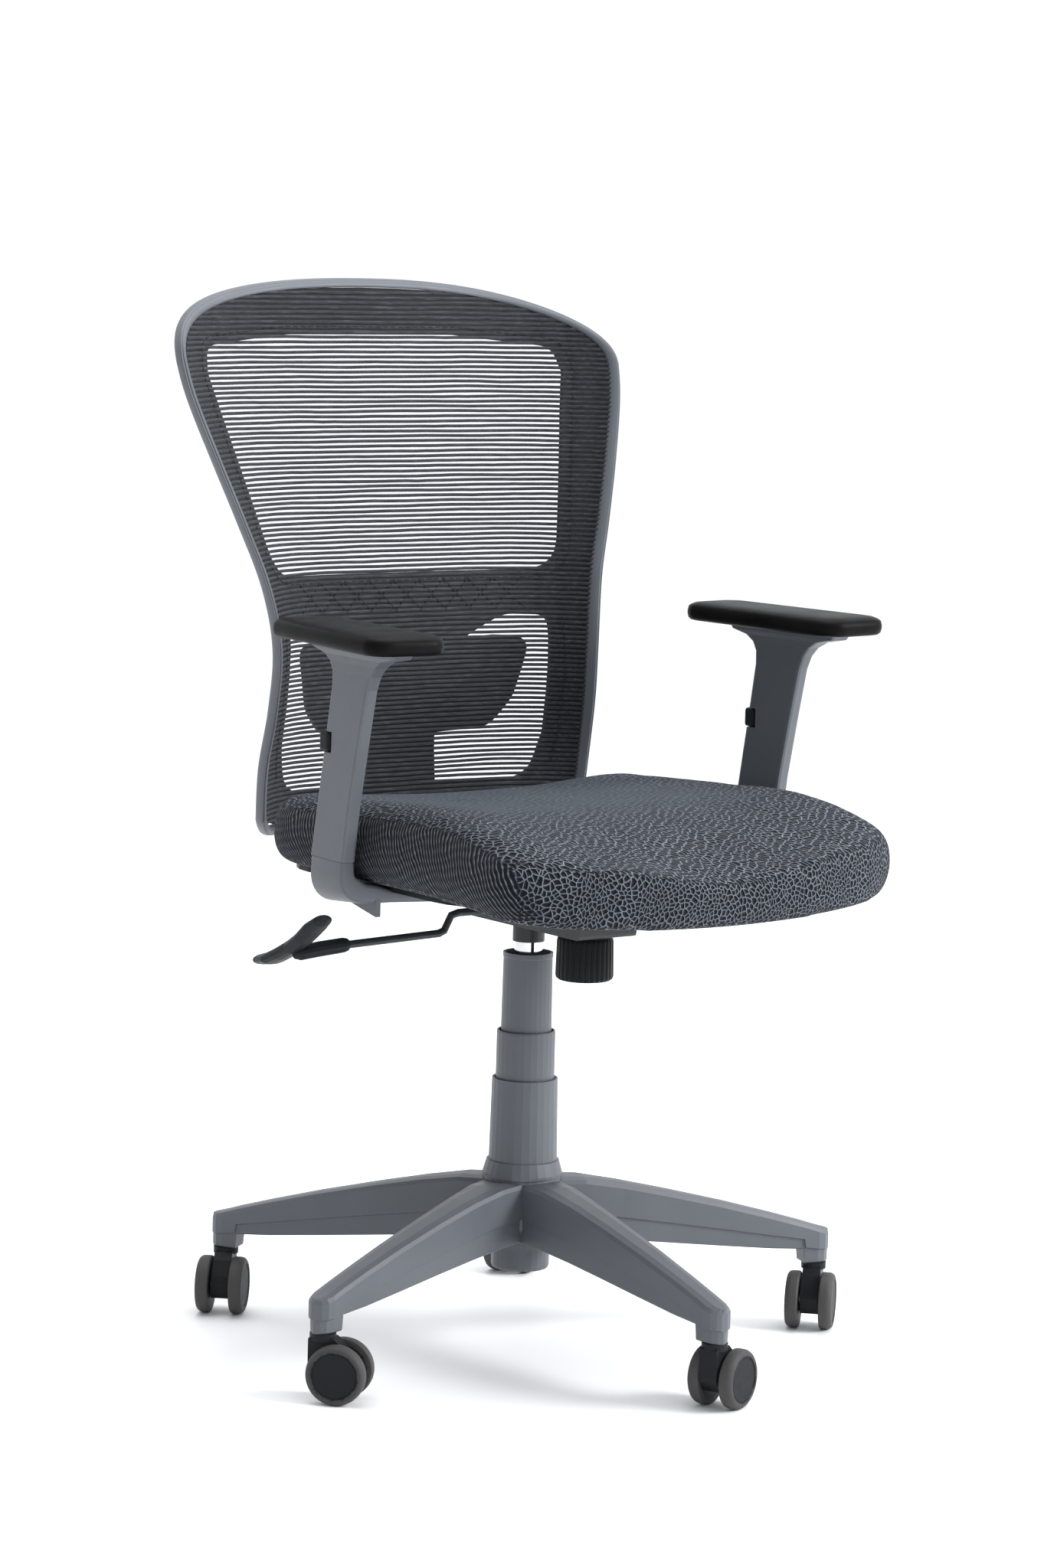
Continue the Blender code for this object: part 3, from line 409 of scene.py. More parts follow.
def net_yarn():
    """Black polyester yarn of the back net, streaked along the ribs."""
    made, tree, shader = new_material("net_yarn")
    coords = node(tree, "ShaderNodeTexCoord").outputs["Object"]
    streak = noise_node(tree, coords, 260, 4, 0.65, (0.22, 1, 1.6))
    colours = ramp(tree, streak, (
        (0.28, (0.015, 0.016, 0.020)), (0.55, (0.030, 0.033, 0.039)), (0.8, (0.064, 0.069, 0.079)),
    ))
    tree.links.new(colours, shader.inputs["Base Color"])
    fibre = noise_node(tree, coords, 1800, 3, 0.7, (0.3, 1, 1))
    tree.links.new(bump(tree, fibre, 0.0002, 0.6), shader.inputs["Normal"])
    shader.inputs["Roughness"].default_value = 0.75
    shader.inputs["Specular IOR Level"].default_value = 0.2
    shader.inputs["Sheen Weight"].default_value = 0.05
    return made


def pad_skin():
    """Self-skinned polyurethane: near black, satin, with a fine pebbled grain."""
    made, tree, shader = new_material("pad_skin")
    coords = node(tree, "ShaderNodeTexCoord").outputs["Object"]
    cloud = noise_node(tree, coords, 24, 4)
    colours = ramp(tree, cloud, ((0.3, (0.0035, 0.0034, 0.0038)), (0.7, (0.0065, 0.0063, 0.0068))))
    tree.links.new(colours, shader.inputs["Base Color"])
    pebble = node(tree, "ShaderNodeTexVoronoi")
    pebble.inputs["Scale"].default_value = 1100
    tree.links.new(coords, pebble.inputs["Vector"])
    tree.links.new(bump(tree, pebble.outputs["Distance"], 0.00015, 0.35), shader.inputs["Normal"])
    tree.links.new(spread(tree, noise_node(tree, coords, 45, 3), 0.36, 0.50), shader.inputs["Roughness"])
    shader.inputs["Specular IOR Level"].default_value = 0.05
    return made


MATERIALS = {
    "grey": moulded("grey_nylon", GREY_RGB, 0.46, 0.45, 0.06, 0.4),
    "black": moulded("black_nylon", BLACK_RGB, 0.42, 0.45, 0.15, 0.12),
    "frame": moulded("frame_black", (0.0175, 0.0190, 0.0215), 0.6, 0.5, 0.15, 0.10),
    "gloss": moulded("gloss_black", (0.0065, 0.0072, 0.0085), 0.34, 0.2, 0.15, 0.10),
    "steel": metal("black_steel", (0.022, 0.023, 0.025), 0.42, 0.35, (1, 1, 1), 0.4),
    "zinc": metal("zinc_steel", (0.46, 0.47, 0.48), 0.34, 1.0, (1, 1, 5)),
    "chrome": metal("chrome_piston", (0.72, 0.73, 0.75), 0.10, 1.0, (1, 1, 6), 0.08),
    "nylon": moulded("natural_nylon", (0.62, 0.61, 0.56), 0.45, 0.3, 0.04),
    "wheel": wheel_plastic(),
    "knit": knit_fabric(),
    "net": net_yarn(),
    "pad": pad_skin(),
}


# Mesh helpers
def finish_piece(name, mesh, look, body, replaced=(), matrix=None, angle=35):
    """Makes a piece from a mesh in the column frame, or in its own frame where a matrix places it."""
    made = bpy.data.objects.new(name, mesh)
    bpy.context.scene.collection.objects.link(made)
    made.matrix_world = Matrix.Translation(COLUMN) @ (matrix or Matrix.Identity(4))
    mesh.materials.clear()
    mesh.materials.append(MATERIALS[look])
    mesh.shade_smooth()
    mesh.set_sharp_from_angle(angle=math.radians(angle))
    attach(made, body)
    if replaced:
        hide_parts(*replaced)
    return made


def to_mesh(bm, name="mesh"):
    mesh = bpy.data.meshes.new(name)
    bmesh.ops.recalc_face_normals(bm, faces=bm.faces)
    bm.to_mesh(mesh)
    bm.free()
    return mesh


def loft(rings, bm=None, closed=False):
    """A skin through rings of equal length, capped at both ends or joined end to start."""
    made = bm or bmesh.new()
    rows = [[made.verts.new(p) for p in points] for points in rings]
    pairs = list(zip(rows, rows[1:]))
    if closed:
        pairs.append((rows[-1], rows[0]))
    for first, second in pairs:
        for i in range(len(first)):
            j = (i + 1) % len(first)
            made.faces.new((first[i], first[j], second[j], second[i]))
    if not closed:
        made.faces.new(rows[0])
        made.faces.new(rows[-1])
    return made


def turned(profile, steps=64):
    """A closed solid of revolution about Z from (radius, z) points that start and end on the axis."""
    made = bmesh.new()
    rows = []
    for k in range(steps):
        a = math.tau * k / steps
        rows.append([made.verts.new((r * math.cos(a), r * math.sin(a), z)) for r, z in profile])
    count = len(profile)
    for k in range(steps):
        here, there = rows[k], rows[(k + 1) % steps]
        for i in range(count):
            j = (i + 1) % count
            if profile[i][0] == 0 and profile[j][0] == 0:
                continue
            made.faces.new((here[i], here[j], there[j], there[i]))
    bmesh.ops.remove_doubles(made, verts=made.verts, dist=0.000005)
    return made


def rounded_rect(half_u, half_v, radius, steps=5):
    points = []
    for quarter, (su, sv) in enumerate(((1, 1), (-1, 1), (-1, -1), (1, -1))):
        for k in range(steps + 1):
            t = math.radians(90 * (quarter + k / steps))
            u = su * (half_u - radius) + radius * math.cos(t)
            v = sv * (half_v - radius) + radius * math.sin(t)
            points.append((u, v))
    return points


def smooth_value(points, at):
    """Cubic interpolation through (place, value) points."""
    last = len(points) - 1
    i = max(0, min(last - 1, sum(1 for p, _ in points if p <= at) - 1))

    def slope(k):
        a, b = points[max(k - 1, 0)], points[min(k + 1, last)]
        return (b[1] - a[1]) / (b[0] - a[0])

    (p0, v0), (p1, v1) = points[i], points[i + 1]
    span = p1 - p0
    t = max(0.0, min(1.0, (at - p0) / span))
    curve = (2 * t ** 3 - 3 * t ** 2 + 1) * v0 + (3 * t ** 2 - 2 * t ** 3) * v1
    start, end = t ** 3 - 2 * t ** 2 + t, t ** 3 - t ** 2
    return curve + span * (start * slope(i) + end * slope(i + 1))


def tube(bm, points, radius, sides=8, flat=1.0):
    """A capped tube along points, drawn in a bmesh; flat squashes it across Y."""
    rings = []
    last = len(points) - 1
    for i, point in enumerate(points):
        ahead = (Vector(points[min(i + 1, last)]) - Vector(points[max(i - 1, 0)])).normalized()
        side = ahead.cross(Vector((0, 1, 0)))
        side = side.normalized() if side.length > 0.1 else Vector((1, 0, 0))
        lift = side.cross(ahead).normalized()
        rings.append([
            Vector(point) + side * radius * math.cos(math.tau * k / sides)
            + lift * radius * flat * math.sin(math.tau * k / sides) for k in range(sides)
        ])
    return loft(rings, bm)


# Back
def back_width(z):
    return smooth_value(BACK_WIDTHS, z)


def back_face(x, z):
    """The Y of the back's front face."""
    share = abs(x) / back_width(z)
    return smooth_value(BACK_EDGES, z) + smooth_value(WRAPS, z) * (1 - share ** 4.5)


def back_outline(rows=60, steps=44):
    """The outline of the back as (x, z) points, all the way round."""
    half = [(k / 8 * 0.168, BACK_BOTTOM) for k in range(9)]
    low = BACK_BOTTOM + 0.018
    half += [(0.176, BACK_BOTTOM + 0.0012), (0.183, BACK_BOTTOM + 0.0045), (0.190, BACK_BOTTOM + 0.0105)]
    half += [(back_width(z), z) for z in (low + (BACK_SHOULDER - low) * k / rows for k in range(rows))]
    width = back_width(BACK_SHOULDER)
    bend = 2 / 2.3
    for k in range(steps):
        t = math.pi / 2 * k / steps
        z = BACK_SHOULDER + (BACK_TOP - BACK_SHOULDER) * math.sin(t) ** bend
        half.append((width * math.cos(t) ** bend, z))
    return half + [(0.0, BACK_TOP)] + [(-x, z) for x, z in reversed(half[1:])]


def make_rim():
    """The grey rim: a bead along the front, a groove beside it and a rounded flank behind."""
    profile = (
        (RIM, 0.0040), (RIM, 0.0004), (0.0082, -0.0010), (0.0066, -0.0019), (0.0048, -0.0020),
        (0.0032, -0.0014), (0.0024, -0.0002), (0.0021, 0.0010), (0.0014, 0.0012), (0.0006, 0.0020),
        (0.0001, 0.0038), (0.0, 0.0066), (0.0, 0.0104), (0.0003, 0.0132), (0.0014, 0.0150), (0.0034, 0.0159),
        (0.0068, 0.0158), (0.0086, 0.0146), (RIM, 0.0120),
    )
    outline = back_outline()
    count = len(outline)
    rings = []
    for i, (x, z) in enumerate(outline):
        before, after = Vector(outline[i - 1]), Vector(outline[(i + 1) % count])
        along = (after - before).normalized()
        inward = Vector((-along.y, along.x))
        ring = []
        for inset, depth in profile:
            u, v = x + inward.x * inset, z + inward.y * inset
            ring.append((u, back_face(u, v) + depth, v))
        rings.append(ring)
    mesh = to_mesh(loft(rings, closed=True))
    return finish_piece("back_rim", mesh, "grey", "seat", ["back_outer_frame"], angle=40)


def half_width_at(z, outline):
    """Half the outline's width at a height."""
    best = 0.0
    for (x0, z0), (x1, z1) in zip(outline, outline[1:]):
        if x0 < 0 or x1 < 0 or not min(z0, z1) <= z <= max(z0, z1) or z0 == z1:
            continue
        best = max(best, x0 + (x1 - x0) * (z - z0) / (z1 - z0))
    return best


def make_net():
    """The net: flat horizontal ribs on the curved surface, with their ends tucked under the rim."""
    outline = back_outline()
    bm = bmesh.new()
    low, high = BACK_BOTTOM + RIM, BACK_TOP - RIM - 0.001
    count = int((high - low) / NET_PITCH)
    for k in range(count):
        z = low + 0.0022 + k * NET_PITCH
        reach = half_width_at(min(z + 0.0035, BACK_TOP - RIM), outline) - RIM + 0.0006
        if z > BACK_SHOULDER:
            reach -= 0.006 * (z - BACK_SHOULDER) / (BACK_TOP - BACK_SHOULDER)
        columns = 44
        points = []
        for i in range(columns + 1):
            share = math.sin((i / columns - 0.5) * math.pi)
            x = reach * (0.35 * (2 * i / columns - 1) + 0.65 * share)
            wave = noise.noise((x * 14, k * 0.31, 3.0)) * 0.0008
            wave += noise.noise((x * 60, k * 1.7, 8.0)) * 0.0003
            points.append((x, back_face(x, z) + 0.0002, z + wave))
        tube(bm, points, NET_RADIUS, 6, NET_FLATNESS)
    mesh = to_mesh(bm)
    made = finish_piece("back_net_ribs", mesh, "net", "seat", ["back_net"], angle=80)
    inner = [(x * (1 - RIM / 0.22), z) for x, z in outline]
    pairs = zip(inner, inner[1:] + inner[:1])
    area = abs(sum(x0 * z1 - x1 * z0 for (x0, z0), (x1, z1) in pairs)) / 2
    flat = (2 * back_width(BACK_TOP), high - low)
    return made


def fillet(corners, steps=8):
    """A closed polygon from (u, v, radius) corners, each rounded."""
    points = []
    count = len(corners)
    for i, (u, v, radius) in enumerate(corners):
        here = Vector((u, v))
        before = Vector(corners[i - 1][:2]) - here
        after = Vector(corners[(i + 1) % count][:2]) - here
        if not radius:
            points.append(here)
            continue
        half = before.angle(after) / 2
        reach = min(radius / math.tan(half), before.length * 0.49, after.length * 0.49)
        start, end = here + before.normalized() * reach, here + after.normalized() * reach
        for k in range(steps + 1):
            t = k / steps
            points.append(start * (1 - t) ** 2 + here * 2 * t * (1 - t) + end * t ** 2)
    return points


def walk(points, step, closed=True):
    """Points a step apart along a polygon."""
    loop = points + [points[0]] if closed else points
    made, left = [], 0.0
    for a, b in zip(loop, loop[1:]):
        length = (b - a).length
        while left <= length:
            made.append(a.lerp(b, left / length))
            left += step
        left -= length
    return made


def sew(bm, places):
    """Dashes of thread on the back's face along evenly spaced places."""
    for i in range(0, len(places) - STITCH_LENGTH, STITCH_EVERY):
        run = places[i:i + STITCH_LENGTH]
        tube(bm, [(p.x, back_face(p.x, p.y) - 0.0006, p.y) for p in run], STITCH_RADIUS, 6)


def make_stitches():
    """Dashes of thread just outside the windows, and the crossed tucks on the bar between them."""
    bm = bmesh.new()
    right = ((0.177, 0.7390, 0.045), (0.2250, 0.9450, 0.000), (0.2190, 0.9780, 0.034), (0.104, 0.9890, 0.100))
    upper = fillet(list(right) + [(-x, z, r) for x, z, r in reversed(right)])
    sew(bm, walk(upper, STITCH_STEP))
    outer = ((0.168, 0.700), (0.170, 0.640), (0.171, 0.580), (0.166, 0.540))
    for side in (-1, 1):
        sew(bm, walk([Vector((side * x, z)) for x, z in outer], STITCH_STEP, False))
    for k in range(-5, 6):
        for lean in (-1, 1):
            start = Vector((0.030 * k - lean * 0.016, 0.708))
            end = Vector((0.030 * k + lean * 0.016, 0.740))
            if max(abs(start.x), abs(end.x)) > 0.165:
                continue
            run = [start.lerp(end, t / 6) for t in range(7)]
            tube(bm, [(p.x, back_face(p.x, p.y) - 0.0001, p.y) for p in run], 0.0005, 6, 0.9)
    return finish_piece("back_stitching", to_mesh(bm), "frame", "seat", angle=80)


# Seat
def seat_width(y, shrink):
    """Half the seat's width at y: a bowed front edge, straight sides and rounded rear corners."""
    front = max(0.0, 1 - (y - SEAT_FRONT - shrink) / SEAT_BOW)
    past = max(0.0, y - SEAT_REAR + shrink + SEAT_CORNER)
    rear = SEAT_CORNER - math.sqrt(max(0.0, SEAT_CORNER ** 2 - past ** 2))
    return (SEAT_HALF - shrink) * math.sqrt(1 - front ** 2) - rear


def seat_section(y, shrink):
    """A slice of the cushion across the chair: dished, crowned along its length, lower at the front."""
    edge = min((y - SEAT_FRONT - shrink) / FRONT_ROUND, (SEAT_REAR - shrink - y) / REAR_ROUND)
    full = min(1.0, 0.25 + 0.75 * math.sqrt(1 - (1 - min(1.0, max(0.0, edge))) ** 2))
    slope = (SEAT_FRONT + DROP_LENGTH - y) / DROP_LENGTH
    share = max(0.0, (slope + math.sqrt(slope ** 2 + DROP_SOFTNESS)) / 2 - DROP_SOFTNESS / 4)
    drop = SEAT_DROP * share
    low = SEAT_BOTTOM + 0.0008 - drop
    middle = low + SEAT_MIDDLE + 0.3 * drop
    crown = SEAT_CROWN * math.exp(-((y - CROWN_Y) / CROWN_LENGTH) ** 2)
    high = middle + SEAT_UPPER - drop + crown - shrink * 0.4
    width = seat_width(y, shrink)
    across = ((0, 0), (0.3, 0), (0.6, 0), (0.80, 0), (0.93, 0), (0.985, 0.22), (1, 0.5), (0.99, 0.75),
              (0.955, 0.92), (0.88, 1.0), (0.78, 0.985), (0.66, 0.955), (0.50, 0.905), (0.30, 0.875),
              (0.15, 0.865), (0, 0.865))
    half = []
    for u, v in across:
        height = low + (high - low) * v
        half.append((width * u, middle + (height - middle) * full + 0.008 * share * u ** 2))
    left = [(-x, z) for x, z in reversed(half[1:-1])]
    return [(x, y, z) for x, z in half + left]


def make_cushion():
    """The seat cushion: a crowned foam form that a cloth simulation inflates under its cover."""
    front, rear = SEAT_FRONT + COVER_INSET, SEAT_REAR - COVER_INSET
    shares = (0.0012, 0.004, 0.010, 0.020, 0.034, 0.054, 0.08, 0.11, 0.145, 0.19, 0.24, 0.30, 0.37, 0.45,
              0.54, 0.64, 0.73, 0.81, 0.87, 0.92, 0.955, 0.98, 0.993, 1)
    rings = [seat_section(front + (rear - front) * share, COVER_INSET) for share in shares]
    mesh = to_mesh(loft(rings))
    piece = bpy.data.objects.new("seat_cover", mesh)
    bpy.context.scene.collection.objects.link(piece)
    inflate(piece, COVER_VOXEL, COVER_PRESSURE, COVER_CAP)
    piece.modifiers.new("smooth", "SMOOTH").iterations = COVER_SMOOTHING
    piece.modifiers.new("subdivide", "SUBSURF").levels = 1
    piece.modifiers["subdivide"].render_levels = 1
    mesh = applied(piece)
    made = finish_piece("seat_cover", mesh, "knit", "seat", ["seat_cushion"], angle=180)
    return made


def applied(piece):
    """The evaluated mesh of a scratch object, which is removed."""
    bpy.context.view_layer.update()
    graph = bpy.context.evaluated_depsgraph_get()
    mesh = bpy.data.meshes.new_from_object(piece.evaluated_get(graph))
    bpy.data.objects.remove(piece, do_unlink=True)
    return mesh


def inflate(piece, voxel, pressure, cap):
    """Remeshes a form, lets air pressure fill it as cloth, and keeps each point within cap of where it was."""
    remesh = piece.modifiers.new("remesh", "REMESH")
    remesh.mode = "VOXEL"
    remesh.voxel_size = voxel
    bpy.context.view_layer.update()
    graph = bpy.context.evaluated_depsgraph_get()
    piece.data = bpy.data.meshes.new_from_object(piece.evaluated_get(graph))
    piece.modifiers.clear()
    start = [v.co.copy() for v in piece.data.vertices]
    low = min(p.z for p in start)
    held = [i for i, p in enumerate(start) if p.z < low + 0.028 and abs(p.x) < SEAT_HALF - 0.035]
    piece.vertex_groups.new(name="pins").add(held, 1.0, "REPLACE")
    cloth = piece.modifiers.new("cloth", "CLOTH")
    settings = cloth.settings
    settings.vertex_group_mass = "pins"
    settings.use_pressure = True
    settings.uniform_pressure_force = pressure
    settings.effector_weights.gravity = 0.0
    settings.tension_stiffness = 18
    settings.compression_stiffness = 18
    settings.bending_stiffness = 4
    cloth.point_cache.frame_start = 1
    cloth.point_cache.frame_end = COVER_FRAMES
    scene = bpy.context.scene
    for step in range(1, COVER_FRAMES + 1):
        scene.frame_set(step)
    graph = bpy.context.evaluated_depsgraph_get()
    moved = piece.evaluated_get(graph).data
    ends = [v.co.copy() for v in moved.vertices]
    piece.modifiers.clear()
    for vert, a, b in zip(piece.data.vertices, start, ends):
        push = b - a
        if push.length > cap:
            push = push.normalized() * cap
        vert.co = a + push
    scene.frame_set(1)


# Arms
def foot_middle():
    """The Y of the middle of the arm at the joint above its foot."""
    return ARM_REAR_Y + ARM_LEAN * (JOINT_Z - ARM_REAR_Z) - ARM_HALF


def foot_path():
    """(x, z, half thickness) down the arm's foot, round its bend and in under the seat."""
    path = [(ARM_X, JOINT_Z - GAP, 0.0072), (ARM_X, JOINT_Z - 0.0020, 0.0073)]
    path.append((ARM_X, 0.4960, FOOT_THICKNESS))
    for k in range(1, FOOT_BEND_STEPS + 1):
        t = math.radians(90 * k / FOOT_BEND_STEPS)
        thick = FOOT_THICKNESS + FOOT_SWELL * math.sin(math.pi * k / (FOOT_BEND_STEPS + 2))
        path.append((ARM_X - FOOT_BEND * (1 - math.cos(t)), FOOT_BEND_Z - FOOT_BEND * math.sin(t), thick))
    path += [(0.2200, 0.4698, 0.0084), (0.2050, 0.4682, 0.0062), (FOOT_INNER_X, 0.4680, 0.0056)]
    return path + [(0.0765, 0.4680, 0.0050)]


def make_bracket(side, sign):
    """The arm's foot: a flat-sided upright end that thickens round the bend and tapers in under the seat."""
    turn = math.tan(math.radians(ARM_TOE))
    middle = foot_middle()
    path = foot_path()
    rings = []
    for i, (x, z, thick) in enumerate(path):
        ahead, behind = path[min(i + 1, len(path) - 1)], path[max(i - 1, 0)]
        along = Vector((ahead[0] - behind[0], ahead[1] - behind[1])).normalized()
        normal = Vector((-along.y, along.x))
        share = max(0.0, min(1.0, (x - FOOT_INNER_X) / (ARM_X - FOOT_INNER_X)))
        rise = FOOT_RISE * min(share, max(0.0, (JOINT_Z - 0.004 - z) / 0.030))
        ring = []
        for u, v in rounded_rect(ARM_HALF - 0.0002, thick, FOOT_EDGE, 5):
            lift = rise * (ARM_HALF - u)
            ring.append((sign * (x + normal.x * v - share * turn * u), middle + u, z + normal.y * v + lift))
        rings.append(ring)
    mesh = to_mesh(loft(rings))
    return finish_piece(f"arm_{side}_foot", mesh, "grey", "seat", [f"arm_{side}_bracket"], angle=40)


def make_web(side, sign):
    """The stiffening web that hangs lengthwise under the foot, deepest at its front end."""
    middle = foot_middle()
    inner, outer = WEB_X
    rings = []
    for y, low in WEB_EDGE:
        corners = ((outer, WEB_TOP), (outer, low), (inner, low), (inner, WEB_TOP))
        rings.append([(sign * x, middle + y, z) for x, z in corners])
    return finish_piece(f"arm_{side}_foot_web", to_mesh(loft(rings)), "grey", "seat", angle=30)


def make_pad(side, sign):
    """An armrest pad: a soft crowned block with a rolled edge, narrower at the rear."""
    half_l, half_w = PAD_LENGTH / 2, PAD_WIDTH / 2
    low = HEAD_TOP + GAP
    layers = ((0.0300, 0.0), (0.0060, 0.0), (0.0030, 0.0006), (0.0010, 0.0024), (0.0, 0.0060), (0.0, 0.0100),
              (0.0010, 0.0140), (0.0034, 0.0168), (0.0075, 0.0184), (0.0140, 0.0192), (0.0240, 0.0196))
    rings = []
    for inset, height in layers:
        ring = []
        for u, v in rounded_rect(half_w - inset, half_l - inset, 0.022 - min(inset, 0.012) * 0.6, 8):
            narrow = 1 - 0.16 * max(0.0, v / half_l) ** 2
            crown = -0.0012 * (v / half_l) ** 2 if height > 0.015 else 0.0
            ring.append((u * narrow, v, low + height + crown))
        rings.append(ring)
    mesh = to_mesh(loft(rings))
    turn = Matrix.Rotation(math.radians(PAD_TOE) * sign, 4, "Z")
    mesh.transform(Matrix.Translation((sign * ARM_X, PAD_Y, 0)) @ turn)
    made = finish_piece(f"arm_{side}_pad_skin", mesh, "pad", f"arm_{side}", [f"arm_{side}_pad"], angle=60)
    return made


# Castors and knob
def make_wheels():
    """The twin wheels: a flat disc in a raised ring, a rounded tread and a blind bore for the axle."""
    face = WHEEL_W - 0.0008
    bore = AXLE_R + GAP
    profile = (
        (0, face), (0.0205, face), (0.0209, face - 0.0004), (0.0213, face - 0.0004), (0.0217, face),
        (0.0222, WHEEL_W - 0.0001), (0.0228, WHEEL_W), (0.0248, WHEEL_W), (0.0256, WHEEL_W - 0.0003),
        (0.0270, WHEEL_W - 0.0014), (0.0279, WHEEL_W - 0.0028), (0.0284, WHEEL_W - 0.0044), (WHEEL_R, 0.0070),
        (WHEEL_R, 0.0030), (0.0283, 0.0012), (0.0275, 0.0002), (0.0266, 0.0), (0.0120, 0.0), (0.0110, 0.0010),
        (bore + 0.0010, 0.0010), (bore, 0.0016), (bore, 0.0090), (0, 0.0090),
    )
    for index, (name, turn) in enumerate(CASTORS):
        around = math.radians(72 * index)
        at = Vector((STEM_CIRCLE * math.sin(around), -STEM_CIRCLE * math.cos(around), 0))
        swivel = Matrix.Translation(at) @ Matrix.Rotation(math.radians(turn), 4, "Z")
        for side, sign in (("left", 1), ("right", -1)):
            centre = Matrix.Translation((CASTOR_TRAIL, sign * WHEEL_INNER, WHEEL_Z))
            matrix = swivel @ centre @ Matrix.Rotation(-sign * math.pi / 2, 4, "X")
            wheel = f"wheel_{name}_{side}"
            replaced = [f"castor_{name}_wheel_{side}"]
            finish_piece(wheel, to_mesh(turned(profile, 72)), "wheel", wheel, replaced, matrix, 30)


def make_knob():
    """The tension knob: a slightly tapered cup with rounded finger ribs round its side."""
    layers = ((0.0, 0.3812, 0), (0.0205, 0.3812, 0), (0.0212, 0.3806, 0), (0.0222, 0.3805, 0),
              (0.0250, 0.3810, 0.3), (0.0272, 0.3826, 1), (0.0280, 0.3850, 1), (0.0277, 0.4000, 1),
              (0.0273, 0.4185, 1), (0.0266, 0.4212, 0.6), (0.0255, 0.4225, 0), (0.0060, 0.4225, 0),
              (0.0050, 0.4215, 0), (0.0045, 0.4003, 0), (0.0, 0.4003, 0))
    steps, grips = 240, 30
    bm = bmesh.new()
    rows = []
    for radius, z, depth in layers:
        row = []
        for k in range(steps):
            t = math.tau * k / steps
            groove = 0.0011 * depth * (0.5 - 0.5 * math.cos(grips * t)) ** 3
            row.append(bm.verts.new(((radius - groove) * math.cos(t), (radius - groove) * math.sin(t), z)))
        rows.append(row)
    for first, second in zip(rows, rows[1:]):
        for k in range(steps):
            j = (k + 1) % steps
            bm.faces.new((first[k], first[j], second[j], second[k]))
    bmesh.ops.remove_doubles(bm, verts=bm.verts, dist=0.000005)
    place = Matrix.Translation((0, KNOB_Y, 0))
    return finish_piece("tension_knob_ribbed", to_mesh(bm), "gloss", "knob", ["tension_knob"], place, 40)


# Scene
def make_floor():
    """A plain pale floor that reaches the horizon."""
    bm = bmesh.new()
    bmesh.ops.create_grid(bm, x_segments=2, y_segments=2, size=FLOOR_HALF)
    floor = bpy.data.objects.new("studio_floor", to_mesh(bm))
    bpy.context.scene.collection.objects.link(floor)
    made, _, shader = new_material("studio_white")
    shader.inputs["Base Color"].default_value = (*FLOOR_RGB, 1)
    shader.inputs["Roughness"].default_value = 0.55
    floor.data.materials.append(made)


def make_sky():
    """A soft sky that is brighter on one side, with a pale ring at the horizon."""
    world = bpy.data.worlds.new("studio")
    bpy.context.scene.world = world
    world.use_nodes = True
    tree = world.node_tree
    background = tree.nodes["Background"]
    background.inputs["Color"].default_value = (*SKY_RGB, 1)
    direction = node(tree, "ShaderNodeTexCoord").outputs["Generated"]
    share = smooth_share(tree, dotted(tree, direction, SKY_TOWARDS), -0.85, 0.45)
    level = maths(tree, "MULTIPLY_ADD", share, SKY_BRIGHT - SKY_DARK, SKY_DARK)
    ring = smooth_share(tree, parts_of(tree, direction)["Z"], 0.24, 0.12)
    strength = maths(tree, "MAXIMUM", level, maths(tree, "MULTIPLY", ring, HORIZON))
    tree.links.new(strength, background.inputs["Strength"])


def area_light(name, place, target, size, power):
    data = bpy.data.lights.new(name, "AREA")
    data.shape = "RECTANGLE"
    data.size, data.size_y = size
    data.energy = power
    made = bpy.data.objects.new(name, data)
    bpy.context.scene.collection.objects.link(made)
    made.location = place
    made.rotation_euler = (Vector(target) - Vector(place)).to_track_quat("-Z", "Y").to_euler()


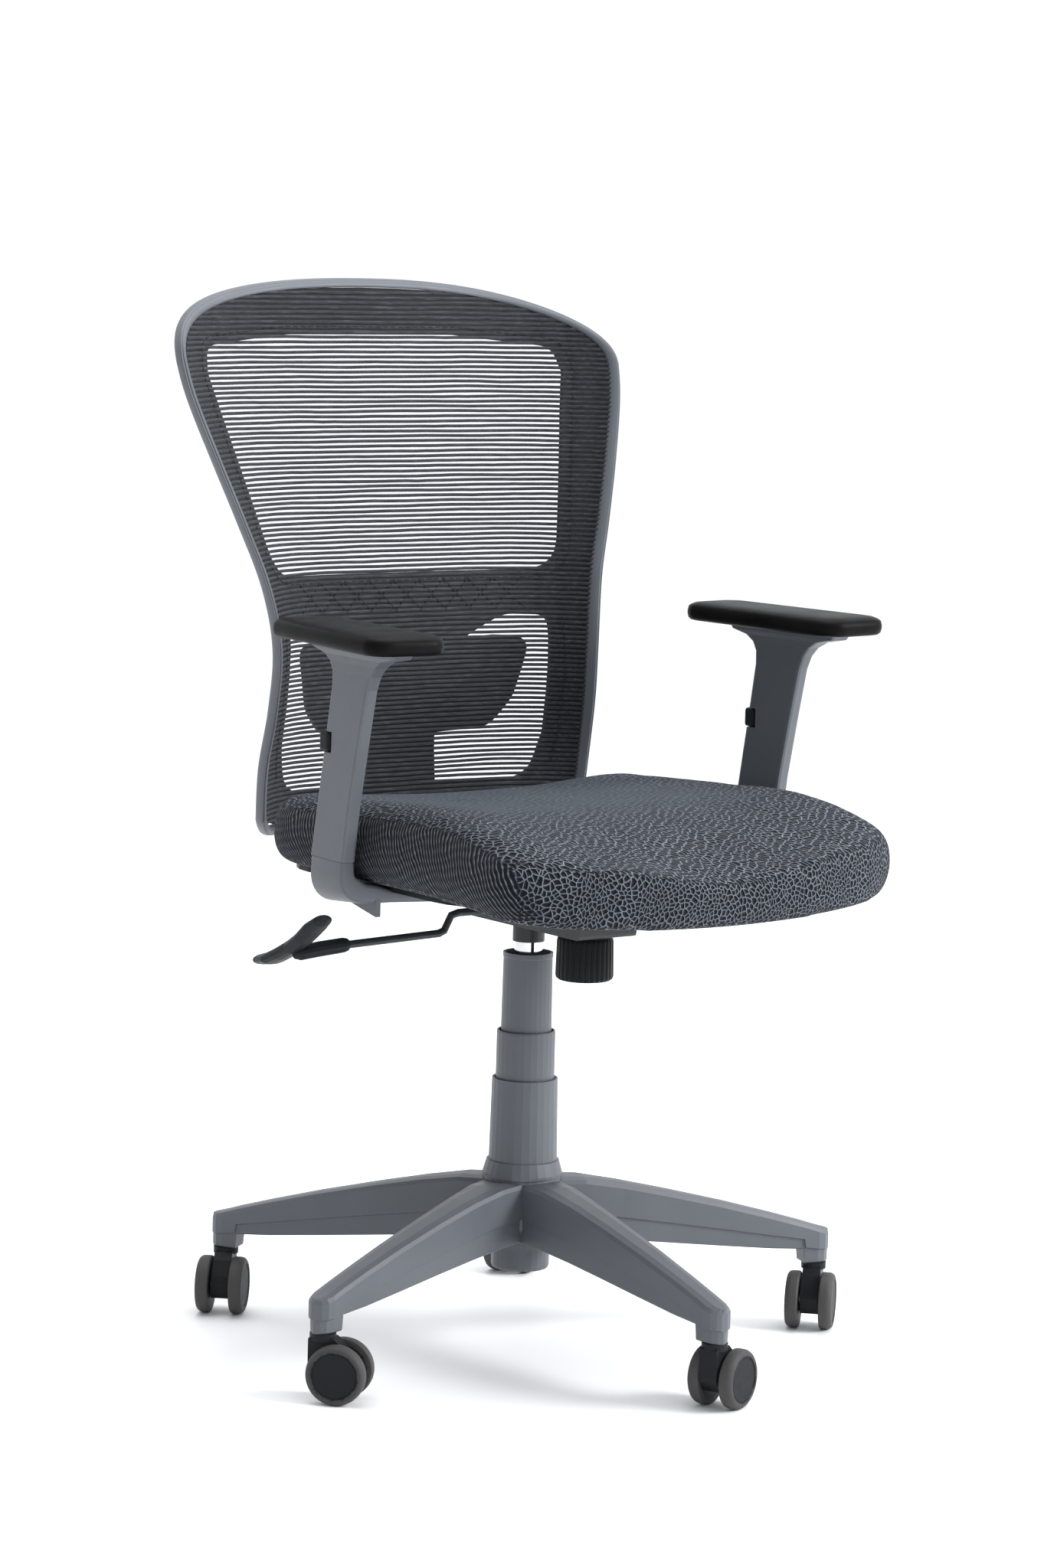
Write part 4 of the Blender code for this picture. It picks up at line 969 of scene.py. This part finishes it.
def make_lights():
    area_light("key", (2.6, -3.0, 2.4), (0, 0, 0.4), (1.7, 1.7), 190)
    area_light("top", (0.3, 0.2, 3.6), (0, 0, 0.3), (2.8, 2.8), 80)


def make_camera():
    """The camera of the reference view: 36 degrees to the sitter's right, a little above the chair."""
    turn = CAMERA_AROUND + CAMERA_YAW
    level = math.cos(CAMERA_PITCH)
    forward = Vector((-math.sin(turn) * level, math.cos(turn) * level, -math.sin(CAMERA_PITCH)))
    right = Vector((math.cos(turn), math.sin(turn), 0))
    up = right.cross(forward)
    cosine, sine = math.cos(CAMERA_ROLL), math.sin(CAMERA_ROLL)
    right, up = right * cosine + up * sine, up * cosine - right * sine
    data = bpy.data.cameras.new("camera")
    data.sensor_width = 36.0
    data.lens = CAMERA_LENS
    made = bpy.data.objects.new("camera", data)
    bpy.context.scene.collection.objects.link(made)
    x, y = math.sin(CAMERA_AROUND) * CAMERA_DISTANCE, -math.cos(CAMERA_AROUND) * CAMERA_DISTANCE
    place = Vector((x, y, CAMERA_HEIGHT)) + COLUMN
    made.matrix_world = Matrix((
        (right.x, up.x, -forward.x, place.x), (right.y, up.y, -forward.y, place.y),
        (right.z, up.z, -forward.z, place.z), (0, 0, 0, 1),
    ))
    bpy.context.scene.camera = made


def dress_cad_nodes():
    """Gives every CAD node the look of its material slot."""
    looks = {"grey_plastic": "grey", "black_plastic": "black", "black_steel": "steel", "zinc_steel": "zinc",
             "chrome": "chrome", "wheel_tread": "wheel", "pad_foam": "pad", "seat_fabric": "knit",
             "back_net": "net", "nylon": "nylon"}
    for part in frame["record"]["subparts"]:
        look = looks[part["material_slot"]]
        if part["node"] == "back_inner_frame":
            look = "frame"
        obj = NODES[part["node"]]
        obj.data.materials.clear()
        obj.data.materials.append(MATERIALS[look])


bpy.context.scene.view_settings.view_transform = "Standard"
dress_cad_nodes()
make_rim()
make_net()
make_stitches()
make_cushion()
for side_name, side_sign in (("left", 1), ("right", -1)):
    make_bracket(side_name, side_sign)
    make_web(side_name, side_sign)
    make_pad(side_name, side_sign)
make_wheels()
make_knob()
make_floor()
make_sky()
make_lights()
make_camera()
